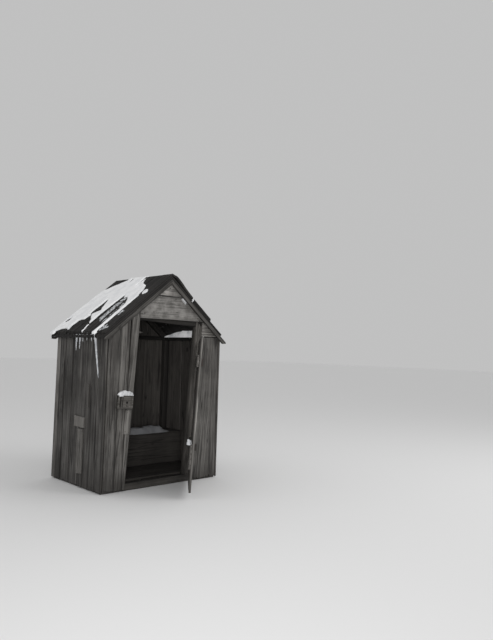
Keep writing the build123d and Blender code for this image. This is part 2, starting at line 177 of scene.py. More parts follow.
class Tree:
    """Short calls that add nodes to a tree and join them."""

    COLUMN = 190
    ROW = 260
    COLUMNS = 9

    def __init__(self, tree: bpy.types.NodeTree) -> None:
        """Takes the node tree to fill."""
        self.tree = tree
        self._count = 0

    def node(self, kind: str, inputs: Inputs | None = None, **settings: object) -> bpy.types.Node:
        """Adds a node.

        Args:
            kind: The node's type name.
            inputs: What feeds its inputs, by their names or numbers.
            settings: Properties of the node and their values, which are set first.

        Returns:
            The new node.
        """
        made = self.tree.nodes.new(kind)
        made.location = (self._count % self.COLUMNS * self.COLUMN, -(self._count // self.COLUMNS) * self.ROW)
        self._count += 1
        for name, value in settings.items():
            setattr(made, name, value)
        for key, source in (inputs or {}).items():
            self.feed(made.inputs[key], source)
        return made

    def feed(self, target: bpy.types.NodeSocket, source: object) -> None:
        """Links a socket to another one, or sets its value.

        Args:
            target: The input socket.
            source: An output socket, a number, a vector, a colour or a name.
        """
        if isinstance(source, bpy.types.NodeSocket):
            self.tree.links.new(source, target)
        else:
            target.default_value = source

    def math(self, operation: str, *values: object, clamp: bool = False) -> bpy.types.NodeSocket:
        """Result of a Math node on some values, held between 0 and 1 where clamp is set."""
        made = self.node("ShaderNodeMath", dict(enumerate(values)), operation=operation, use_clamp=clamp)
        return made.outputs[0]

    def plus(self, first: object, second: object) -> bpy.types.NodeSocket:
        """The sum of two values."""
        return self.math("ADD", first, second)

    def minus(self, first: object, second: object) -> bpy.types.NodeSocket:
        """The first value less the second one."""
        return self.math("SUBTRACT", first, second)

    def times(self, first: object, second: object) -> bpy.types.NodeSocket:
        """The product of two values."""
        return self.math("MULTIPLY", first, second)

    def swing(self, value: object, width: object) -> bpy.types.NodeSocket:
        """A value of about 0.5 on average, moved to swing around 0 and scaled by a width."""
        return self.times(self.minus(value, 0.5), width)

    def scaled(self, vector: object, scales: Point3) -> bpy.types.NodeSocket:
        """A vector with each of its three parts scaled by its own factor."""
        return self.node("ShaderNodeVectorMath", {0: vector, 1: scales}, operation="MULTIPLY").outputs[0]

    def parts(self, vector: object) -> Sequence[bpy.types.NodeSocket]:
        """Sockets of the three parts of a vector."""
        return self.node("ShaderNodeSeparateXYZ", {0: vector}).outputs

    def noise(
        self, vector: object, scale: object, detail: float = 2.0, roughness: float = 0.5
    ) -> bpy.types.NodeSocket:
        """Adds a Noise Texture and gives its value.

        Args:
            vector: Where the noise is read.
            scale: Its scale, or one scale for each of the three directions.
            detail: Its number of octaves.
            roughness: Strength of the finer octaves.

        Returns:
            The socket of its value, about 0.5 on average.
        """
        if isinstance(scale, tuple):
            vector, scale = self.scaled(vector, scale), 1.0
        inputs = {"Vector": vector, "Scale": scale, "Detail": detail, "Roughness": roughness}
        return self.node("ShaderNodeTexNoise", inputs).outputs["Fac"]

    def step(self, value: object, start: float, end: float) -> bpy.types.NodeSocket:
        """A smooth step of a value, from 0 at start to 1 at end.

        Args:
            value: The value's socket.
            start: Place of 0.
            end: Place of 1, above or below the place of 0.

        Returns:
            The step's socket.
        """
        inputs = {"Value": value, "From Min": min(start, end), "From Max": max(start, end)}
        result = self.node("ShaderNodeMapRange", inputs, interpolation_type="SMOOTHSTEP").outputs["Result"]
        return result if start < end else self.minus(1.0, result)

    def mix(self, share: object, low: object, high: object) -> bpy.types.NodeSocket:
        """Mixes two colours.

        Args:
            share: Share of the second colour.
            low: First colour, a socket or three numbers.
            high: Second colour, a socket or three numbers.

        Returns:
            The mixed colour's socket.
        """
        made = self.node("ShaderNodeMix", {0: share}, data_type="RGBA")
        colours = [socket for socket in made.inputs if socket.type == "RGBA"]
        for socket, colour in zip(colours, (low, high)):
            self.feed(socket, colour if isinstance(colour, bpy.types.NodeSocket) else (*colour, 1.0))
        return next(socket for socket in made.outputs if socket.type == "RGBA")

    def place(self) -> bpy.types.NodeSocket:
        """Place of a surface point in its object, in metres."""
        return self.node("ShaderNodeTexCoord").outputs["Object"]

    def attribute(self, name: str, output: str = "Fac") -> bpy.types.NodeSocket:
        """An output of a mesh attribute, its plain value where no other one is named."""
        made = self.node("ShaderNodeAttribute", attribute_type="GEOMETRY", attribute_name=name)
        return made.outputs[output]

    def bump(self, height: object, strength: float, distance: float) -> bpy.types.NodeSocket:
        """Normal of a surface with a fine relief, whose full height is a distance in metres."""
        inputs = {"Strength": strength, "Distance": distance, "Height": height}
        return self.node("ShaderNodeBump", inputs).outputs["Normal"]

    def group(self, effect: SharedEffect, inputs: Inputs) -> Sockets:
        """Places a shared effect and gives its output sockets by name."""
        made = self.node("ShaderNodeGroup", inputs, node_tree=shared_group(effect))
        return {socket.name: socket for socket in made.outputs}


def line_cells(tree: Tree, wood: object, scales: Point3, width: float, where: Point2) -> bpy.types.NodeSocket:
    """Long thin cracks between stretched cells, open only in some places.

    Args:
        tree: The tree to add to.
        wood: Place in the board.
        scales: Cells in a metre along, across and through the board.
        width: Width of a crack, as a share of a cell.
        where: Levels of a slow noise between which the cracks open.

    Returns:
        The mask of the cracks.
    """
    cells = {"Vector": tree.scaled(wood, scales), "Scale": 1.0}
    edges = tree.node("ShaderNodeTexVoronoi", cells, feature="DISTANCE_TO_EDGE")
    open_here = tree.step(tree.noise(wood, (2.2, 11.0, 11.0), 1.0), *where)
    return tree.times(tree.step(edges.outputs["Distance"], width, 0.0), open_here)


def add_grain(tree: Tree, given: Sockets) -> Sockets:
    """Annual rings, fibres, streaks, fine cracks and knots of a board.

    Args:
        tree: The group's tree.
        given: Its inputs. Wood is a place in the board, in metres from the pith line.

    Returns:
        Its outputs.
    """
    wood = given["Wood"]
    spread = {"Vector": tree.scaled(wood, (2.0, 4.2, 1.0)), "Scale": 1.0}
    cells = tree.node("ShaderNodeTexVoronoi", spread, feature="F1").outputs
    chosen = tree.step(tree.parts(cells["Color"])[0], 0.55, 0.56)
    knot = tree.times(tree.step(cells["Distance"], 0.085, 0.05), chosen)
    swell = tree.times(tree.times(tree.step(cells["Distance"], 0.30, 0.0), chosen), 0.016)
    parts = tree.parts(wood)
    flat = tree.node("ShaderNodeCombineXYZ", {1: parts[1], 2: parts[2]}).outputs[0]
    length = tree.node("ShaderNodeVectorMath", {0: flat}, operation="LENGTH").outputs["Value"]
    wander = tree.swing(tree.noise(wood, (0.8, 5.0, 5.0)), 0.03)
    radius = tree.plus(tree.plus(length, wander), swell)
    turns = tree.times(tree.math("DIVIDE", radius, given["Ring spacing"]), math.tau)
    wave = tree.plus(tree.times(tree.math("SINE", turns), 0.5), 0.5)
    rings = tree.math("POWER", wave, 2.2)
    fibre = tree.noise(wood, (7.0, 330.0, 330.0), 2.0, 0.6)
    streaks = tree.noise(wood, (0.9, 24.0, 24.0), 3.0, 0.6)
    bands = tree.noise(wood, (0.8, 70.0, 70.0), 3.0, 0.65)
    fine = line_cells(tree, wood, (1.4, 46.0, 30.0), 0.055, (0.50, 0.60))
    broad = line_cells(tree, wood, (0.55, 15.0, 9.0), 0.050, (0.47, 0.56))
    cracks = tree.math("MAXIMUM", fine, broad)
    relief = tree.minus(tree.times(fibre, 0.35), tree.times(cracks, 1.3))
    relief = tree.plus(relief, tree.times(rings, 0.45))
    lines = {"Rings": rings, "Fibre": fibre, "Streaks": streaks, "Bands": bands}
    return lines | {"Cracks": cracks, "Knot": knot, "Relief": relief}


def add_weather(tree: Tree, given: Sockets) -> Sockets:
    """Damp near the ground and large blotches, by the place on the building.

    Args:
        tree: The group's tree.
        given: Its inputs. Place is in metres, with the ground at height 0.

    Returns:
        Its outputs.
    """
    place = given["Place"]
    uneven = tree.noise(place, (14.0, 14.0, 2.0), 3.0, 0.6)
    height = tree.plus(tree.parts(place)[2], tree.swing(uneven, 0.5))
    share = tree.math("DIVIDE", height, given["Damp height"])
    blotches = tree.noise(place, given["Blotch scale"], 4.0, 0.55)
    return {"Damp": tree.step(share, 1.0, 0.0), "Blotches": blotches}


def add_speckle(tree: Tree, given: Sockets) -> Sockets:
    """Frost that lies in the grain, thicker where the Amount is higher.

    Args:
        tree: The group's tree.
        given: Its inputs.

    Returns:
        Its outputs. Frost is a mask from 0 to 1.
    """
    coarse = tree.noise(given["Wood"], (24.0, 56.0, 56.0), 2.0, 0.6)
    level = tree.plus(tree.times(given["Amount"], 0.44), 0.10)
    frost = tree.step(tree.minus(level, coarse), -0.02, 0.07)
    frost = tree.times(frost, tree.step(given["Amount"], 0.02, 0.2))
    return {"Frost": frost, "Height": tree.times(frost, coarse)}


FLOAT = "NodeSocketFloat"
VECTOR = "NodeSocketVector"
EFFECTS = {
    SharedEffect.GRAIN: (add_grain, {"Wood": VECTOR, "Ring spacing": FLOAT}),
    SharedEffect.WEATHER: (add_weather, {"Place": VECTOR, "Damp height": FLOAT, "Blotch scale": FLOAT}),
    SharedEffect.SPECKLE: (add_speckle, {"Wood": VECTOR, "Amount": FLOAT}),
}


def shared_group(effect: SharedEffect) -> bpy.types.NodeTree:
    """The one copy of a shared effect.

    Args:
        effect: Which effect is wanted.

    Returns:
        Its node group, built at the first call. All its outputs are plain values.
    """
    known = bpy.data.node_groups.get(effect.value)
    if known:
        return known
    add_nodes, inputs = EFFECTS[effect]
    shared = bpy.data.node_groups.new(effect.value, "ShaderNodeTree")
    for name, kind in inputs.items():
        shared.interface.new_socket(name=name, in_out="INPUT", socket_type=kind)
    tree = Tree(shared)
    given = tree.node("NodeGroupInput")
    results = add_nodes(tree, {socket.name: socket for socket in given.outputs if socket.name})
    for name in results:
        shared.interface.new_socket(name=name, in_out="OUTPUT", socket_type=FLOAT)
    tree.node("NodeGroupOutput", results)
    return shared


# Finishes


@dataclass(frozen=True)
class Finish:
    """How a kind of surface looks. All that share a finish share its one material."""

    name: str

    def material(self) -> bpy.types.Material:
        """The material of this finish.

        Returns:
            The material, built at the first call.
        """
        known = bpy.data.materials.get(self.name)
        if known:
            return known
        made = bpy.data.materials.new(self.name)
        made.use_nodes = True
        made.node_tree.nodes.clear()
        tree = Tree(made.node_tree)
        shader = tree.node("ShaderNodeBsdfPrincipled", self.surface(tree))
        tree.node("ShaderNodeOutputMaterial", {"Surface": shader.outputs["BSDF"]})
        return made

    def surface(self, tree: Tree) -> Inputs:
        """Adds the nodes of a surface and gives what feeds the shader, which each kind does in its way."""
        raise NotImplementedError


@dataclass(frozen=True)
class OldWood(Finish):
    """Unpainted wood, worn and grey, whose side to the room is painted darker as painted shade."""

    pale: Colour
    dark: Colour
    # Colour of the side to the room: painted shade, darker than the wood's own colour.
    indoor: Colour
    damp: Colour = (0.022, 0.020, 0.018)
    damp_height: float = 0.30
    damp_share: float = 0.55
    ring_spacing: float = 0.0055
    relief: float = 0.0011
    streaks: float = 0.45
    bands: float = 0.50
    blotches: float = 0.45
    blotch_scale: float = 3.1
    worn: float = 1.0
    frosted: bool = False

    def surface(self, tree: Tree) -> Inputs:
        """Adds the nodes of the wood.

        Args:
            tree: The material's tree.

        Returns:
            What feeds the shader's inputs, by name.
        """
        wood = tree.attribute("wood", "Vector")
        grain = tree.group(SharedEffect.GRAIN, {"Wood": wood, "Ring spacing": self.ring_spacing})
        spot = {"Place": tree.place(), "Damp height": self.damp_height, "Blotch scale": self.blotch_scale}
        weather = tree.group(SharedEffect.WEATHER, spot)
        light = tree.swing(grain["Fibre"], 0.35)
        for value, weight in (
            (grain["Streaks"], self.streaks),
            (grain["Bands"], self.bands),
            (weather["Blotches"], self.blotches),
        ):
            light = tree.plus(light, tree.swing(value, weight))
        light = tree.minus(light, tree.times(grain["Rings"], 0.12))
        colour = tree.mix(tree.step(light, -0.22, 0.16), self.dark, self.pale)
        # Painted shade: the side of a board that faces the room takes the indoor colour.
        indoor = tree.attribute("indoor")
        unlit = tuple(0.55 * part for part in self.indoor)
        inner = tree.mix(tree.step(light, -0.25, 0.20), unlit, self.indoor)
        colour = tree.mix(indoor, colour, inner)
        outdoors = tree.minus(1.0, indoor)
        toned = {0: colour, "Scale": tree.attribute("tone")}
        colour = tree.node("ShaderNodeVectorMath", toned, operation="SCALE").outputs["Vector"]
        worn = tree.times(tree.attribute("edge"), tree.times(grain["Streaks"], self.worn))
        colour = tree.mix(tree.times(worn, outdoors), colour, tuple(1.35 * part for part in self.pale))
        # Partly painted shade, partly dirt: patchy dark bands along the sides of each board, on its outer
        # face.
        side_shade_and_dirt = tree.times(tree.attribute("shade"), outdoors)
        colour = tree.mix(side_shade_and_dirt, colour, tuple(0.40 * part for part in self.dark))
        damp = tree.times(weather["Damp"], self.damp_share)
        colour = tree.mix(damp, colour, self.damp)
        gaps = tree.math("ADD", tree.times(grain["Cracks"], 0.9), grain["Knot"], clamp=True)
        colour = tree.mix(tree.times(gaps, 0.8), colour, tuple(0.25 * part for part in self.dark))
        relief = grain["Relief"]
        if self.frosted:
            speckle = tree.group(SharedEffect.SPECKLE, {"Wood": wood, "Amount": tree.attribute("frost")})
            colour = tree.mix(speckle["Frost"], colour, (0.62, 0.64, 0.66))
            relief = tree.plus(relief, speckle["Height"])
        rough = tree.plus(tree.times(grain["Fibre"], 0.16), 0.74)
        return {
            "Base Color": colour,
            "Roughness": tree.minus(rough, tree.times(damp, 0.2)),
            "Specular IOR Level": 0.28,
            "Normal": tree.bump(relief, 1.0, self.relief),
        }


@dataclass(frozen=True)
class SnowFinish(Finish):
    """Old snow, a little grainy and uneven in tone. Where painted_glow is set, thin snow over a gap emits its
    colour as painted light, standing in for daylight from behind.
    """

    name: str = "snow"
    bright: Colour = (0.80, 0.804, 0.81)
    dull: Colour = (0.72, 0.727, 0.74)
    painted_glow: float = 0.0

    def surface(self, tree: Tree) -> Inputs:
        """Adds the nodes of the snow.

        Args:
            tree: The material's tree.

        Returns:
            What feeds the shader's inputs, by name.
        """
        place = tree.place()
        grains = tree.noise(place, 420.0, 2.0, 0.6)
        height = tree.plus(tree.times(grains, 0.25), tree.noise(place, 70.0, 3.0, 0.6))
        colour = tree.mix(tree.step(tree.noise(place, 9.0, 4.0, 0.6), 0.35, 0.62), self.dull, self.bright)
        inputs = {
            "Base Color": colour,
            "Roughness": tree.plus(tree.times(grains, 0.3), 0.5),
            "Specular IOR Level": 0.3,
            "Normal": tree.bump(height, 0.4, 0.002),
        }
        # Painted light: the snow emits its own colour.
        if self.painted_glow:
            inputs |= {"Emission Color": colour, "Emission Strength": self.painted_glow}
        return inputs


@dataclass(frozen=True)
class IceFinish(Finish):
    """Cloudy ice of icicles."""

    name: str = "ice"
    clear: Colour = (0.66, 0.67, 0.69)
    cloudy: Colour = (0.40, 0.41, 0.43)

    def surface(self, tree: Tree) -> Inputs:
        """Adds the nodes of the ice.

        Args:
            tree: The material's tree.

        Returns:
            What feeds the shader's inputs, by name.
        """
        clouds = tree.noise(tree.place(), (60.0, 60.0, 14.0), 3.0, 0.6)
        ripples = tree.noise(tree.place(), (40.0, 40.0, 150.0))
        return {
            "Base Color": tree.mix(tree.step(clouds, 0.35, 0.65), self.cloudy, self.clear),
            "Roughness": tree.plus(tree.times(clouds, 0.25), 0.12),
            "Transmission Weight": 0.20,
            "IOR": 1.31,
            "Normal": tree.bump(ripples, 0.5, 0.0012),
        }


@dataclass(frozen=True)
class RustedIron(Finish):
    """Old iron with dark scale and dull rust."""

    name: str = "rusted_iron"
    scale: Colour = (0.020, 0.018, 0.017)
    rust: Colour = (0.052, 0.041, 0.034)

    def surface(self, tree: Tree) -> Inputs:
        """Adds the nodes of the iron.

        Args:
            tree: The material's tree.

        Returns:
            What feeds the shader's inputs, by name.
        """
        patches = tree.noise(tree.place(), 55.0, 5.0, 0.65)
        pits = tree.noise(tree.place(), 620.0, 3.0, 0.6)
        share = tree.step(tree.plus(patches, tree.times(pits, 0.25)), 0.50, 0.75)
        return {
            "Base Color": tree.mix(share, self.scale, self.rust),
            "Roughness": tree.plus(tree.times(share, 0.35), 0.5),
            "Metallic": 0.35,
            "Normal": tree.bump(tree.plus(patches, pits), 0.8, 0.0006),
        }


@dataclass(frozen=True)
class PlainFinish(Finish):
    """One dull colour all over."""

    colour: Colour = (0.68, 0.68, 0.68)
    roughness: float = 0.9

    def surface(self, tree: Tree) -> Inputs:
        """The colour and the roughness, without more nodes."""
        return {"Base Color": (*self.colour, 1.0), "Roughness": self.roughness}


WALL_WOOD = OldWood("wall_wood", (0.150, 0.143, 0.134), (0.040, 0.037, 0.034), (0.072, 0.066, 0.060))
# Painted shade: the side and back walls use a darker copy of the front wall's wood.
SHADED_SIDE_WOOD = OldWood("side_wood", (0.112, 0.107, 0.101), (0.026, 0.024, 0.022), (0.072, 0.066, 0.060))
GABLE_WOOD = OldWood(
    "gable_wood",
    (0.235, 0.226, 0.214),
    (0.092, 0.087, 0.081),
    (0.085, 0.078, 0.070),
    relief=0.0006,
    streaks=0.12,
    bands=0.09,
    blotches=0.66,
    blotch_scale=13.0,
)
PATCH_WOOD = OldWood(
    "patch_wood", (0.175, 0.167, 0.157), (0.062, 0.058, 0.053), (0.085, 0.078, 0.070), damp_share=0.1
)
ROOF_WOOD = OldWood(
    "roof_wood", (0.027, 0.025, 0.023), (0.006, 0.0055, 0.005), (0.016, 0.015, 0.014), worn=0.2, frosted=True
)
RAKE_WOOD = OldWood("rake_wood", (0.095, 0.090, 0.084), (0.034, 0.032, 0.029), (0.050, 0.046, 0.042))
FRAME_WOOD = OldWood("frame_wood", (0.120, 0.112, 0.102), (0.046, 0.042, 0.038), (0.082, 0.075, 0.068))
# The door posts are the frame wood with a much darker indoor colour: painted shade inside the doorway.
POST_WOOD_SHADED_INSIDE = OldWood("post_wood", (0.120, 0.112, 0.102), (0.046, 0.042, 0.038), (0.022, 0.020, 0.018))
# Painted shade: the door header under the gable board is painted nearly black.
SHADED_HEADER_WOOD = OldWood(
    "header_wood", (0.021, 0.019, 0.017), (0.008, 0.007, 0.006), (0.030, 0.027, 0.024), worn=1.2
)
# The keeper's indoor colour is nearly black: painted shade in its slot and along its back.
KEEPER_WOOD = OldWood(
    "keeper_wood",
    (0.135, 0.127, 0.117),
    (0.042, 0.039, 0.035),
    (0.010, 0.009, 0.008),
    relief=0.0006,
    streaks=0.3,
)
# Painted shade: the floor, the seat and the inner posts are painted dark for the dim room.
SHADED_INNER_WOOD = OldWood("inner_wood", (0.046, 0.042, 0.038), (0.016, 0.014, 0.013), (0.046, 0.042, 0.038))
# Painted shade: the plates, ridge beam and rafters under the roof are painted nearly black.
SHADED_LOFT_WOOD = OldWood("loft_wood", (0.026, 0.024, 0.022), (0.010, 0.009, 0.008), (0.024, 0.022, 0.020))
DOOR_WOOD = OldWood("door_wood", (0.265, 0.253, 0.238), (0.084, 0.078, 0.071), (0.090, 0.083, 0.076))
SNOW = SnowFinish()
OLD_SNOW = SnowFinish("old_snow", (0.62, 0.625, 0.635), (0.46, 0.466, 0.478))
SHADED_SNOW = SnowFinish("shaded_snow", (0.19, 0.193, 0.200), (0.14, 0.143, 0.150))
# Snow on the right plate: painted light from emission, for snow lit through the gap under the roof.
BACKLIT_SNOW = SnowFinish("backlit_snow", dull=(0.50, 0.51, 0.53), painted_glow=0.26)
ICE = IceFinish()
IRON = RustedIron()


# Boards


@dataclass
class Board:
    """One board as it lies in the building: its middle, its axes and its half sizes."""

    middle: Vector
    along: Vector
    across: Vector
    out: Vector
    half: Vector

    def face_point(self, along: float, across: float, side: float = 1.0) -> Vector:
        """A point on the outer face, or with -1 as its side on the inner one, measured from its middle."""
        return self.middle + self.along * along + self.across * across + self.out * (side * self.half[2])


@dataclass(frozen=True)
class BoardWear:
    """How worn a set of boards is, in metres, apart from the number of checks in a board.

    Row and column are the spacing of the cuts that let a board bend, along it and across it.
    """

    row: float = 0.035
    column: float = 0.012
    arris: float = 0.0024
    wobble: float = 0.0010
    cup: float = 0.0012
    bow: float = 0.0010
    shift: float = 0.0006
    foot_rag: float = 0.0
    head_rag: float = 0.0
    checks: float = 1.6
    check_width: float = 0.0016
    check_depth: float = 0.006


def island_meshes(node: bpy.types.Object) -> list[bmesh.types.BMesh]:
    """Copies a CAD node's mesh, merges it and parts it into its solids.

    Args:
        node: The CAD node.

    Returns:
        One mesh for each solid, with flat faces rejoined.
    """
    whole = bmesh.new()
    whole.from_mesh(node.data)
    bmesh.ops.remove_doubles(whole, verts=whole.verts, dist=2 * TOUCHING)
    bmesh.ops.dissolve_limit(whole, angle_limit=math.radians(0.5), verts=whole.verts, edges=whole.edges)
    whole.verts.ensure_lookup_table()
    unseen = set(range(len(whole.verts)))
    islands = []
    while unseen:
        start = unseen.pop()
        members, border = {start}, [whole.verts[start]]
        while border:
            vertex = border.pop()
            for edge in vertex.link_edges:
                other = edge.other_vert(vertex)
                if other.index in unseen:
                    unseen.discard(other.index)
                    members.add(other.index)
                    border.append(other)
        part = bmesh.new()
        copies = {index: part.verts.new(whole.verts[index].co) for index in sorted(members)}
        faces = {face for index in members for face in whole.verts[index].link_faces}
        for face in sorted(faces, key=lambda each: each.index):
            part.faces.new([copies[vertex.index] for vertex in face.verts])
        part.normal_update()
        islands.append(part)
    whole.free()
    return sorted(islands, key=lambda island: middle_of(island)[:])


def middle_of(mesh: bmesh.types.BMesh) -> Vector:
    """The mean place of a mesh's points.

    Args:
        mesh: The mesh.

    Returns:
        The place, rounded to a tenth of a millimetre so that solids always sort alike.
    """
    total = sum((vertex.co for vertex in mesh.verts), Vector()) / len(mesh.verts)
    return Vector((round(total.x, 4), round(total.y, 4), round(total.z, 4)))


def board_of(mesh: bmesh.types.BMesh, upright: bool = False) -> Board:
    """Finds how a solid lies: its long edge, its broad face and its extent.

    Args:
        mesh: The solid.
        upright: Whether its grain runs up, however short it is.

    Returns:
        The board, with its outer face away from the room's middle.
    """
    longest = max(mesh.edges, key=lambda edge: (round(edge.calc_length(), 5), tuple(edge.verts[0].co)))
    along = (longest.verts[1].co - longest.verts[0].co).normalized()
    if upright:
        along = Vector((0.0, 0.0, 1.0))
    if along.z < -0.05 or (abs(along.z) <= 0.05 and along.x + along.y < 0):
        along = -along
    broad = max(mesh.faces, key=lambda face: (round(face.calc_area(), 7), tuple(face.normal)))
    out = (broad.normal - along * broad.normal.dot(along)).normalized()
    across = out.cross(along)
    points = [vertex.co for vertex in mesh.verts]
    centre = sum(points, Vector()) / len(points)
    if (centre - MIDDLE_OF_ROOM).dot(out) < 0:
        out, across = -out, -across
    middle, half = Vector(), Vector()
    for index, axis in enumerate((along, across, out)):
        reach = [point.dot(axis) for point in points]
        middle += axis * ((min(reach) + max(reach)) / 2)
        half[index] = (max(reach) - min(reach)) / 2
    return Board(middle, along, across, out, half)


def break_off(mesh: bmesh.types.BMesh, board: Board, length: float) -> None:
    """Takes a piece off the foot of a board and closes the end.

    Args:
        mesh: The board's solid, which is changed.
        board: How it lies.
        length: Length of the missing piece.
    """
    place = board.middle - board.along * (board.half[0] - length)
    geometry = mesh.verts[:] + mesh.edges[:] + mesh.faces[:]
    cut = bmesh.ops.bisect_plane(
        mesh, geom=geometry, dist=TOUCHING, plane_co=place, plane_no=-board.along, clear_outer=True
    )
    rim = [item for item in cut["geom_cut"] if isinstance(item, bmesh.types.BMEdge)]
    bmesh.ops.contextual_create(mesh, geom=rim)
    mesh.normal_update()


def link_object(name: str, data: bpy.types.ID) -> bpy.types.Object:
    """Adds an object to the scene.

    Args:
        name: Its name.
        data: Its mesh, lamp or camera.

    Returns:
        The new object.
    """
    made = bpy.data.objects.new(name, data)
    bpy.context.scene.collection.objects.link(made)
    return made


def write_attribute(mesh: bpy.types.Mesh, name: str, values: Sequence) -> None:
    """Writes an attribute on the points of a mesh.

    Args:
        mesh: The mesh.
        name: The attribute's name.
        values: A number or a vector for each point.
    """
    column = np.asarray(values, np.float32)
    kind, key = ("FLOAT_VECTOR", "vector") if column.ndim == 2 else ("FLOAT", "value")
    mesh.attributes.new(name, kind, "POINT").data.foreach_set(key, column.ravel())


def round_arrises(mesh: bmesh.types.BMesh, turn: float, width: float, segments: int) -> None:
    """Rounds the sharp edges of a solid.

    Args:
        mesh: The solid, which is changed.
        turn: Edges that turn by more than this many radians are sharp.
        width: How far the rounding reaches from an edge.
        segments: Number of faces across the rounding.
    """
    sharp = [edge for edge in mesh.edges if edge.is_manifold and edge.calc_face_angle(0.0) > turn]
    bmesh.ops.bevel(
        mesh, geom=sharp, offset=width, segments=segments, profile=0.6, affect="EDGES", clamp_overlap=True
    )


@dataclass(frozen=True)
class BoardSet:
    """One CAD node of boards with its wear and its finish. Boards count from left to right, then back.

    Levels say how bright each board is. Curls name the boards that have lifted near the head, each with
    the hump's length and height, and short names those that have lost a piece at the foot, with its length.
    Upright is set where the grain of every solid runs up.
    """

    node: str
    finish: OldWood
    slot: str
    wear: BoardWear = BoardWear()
    body: str = HUT
    levels: tuple[float, ...] = ()
    upright: bool = False
    curls: tuple[tuple[int, float, float], ...] = ()
    short: tuple[tuple[int, float], ...] = ()


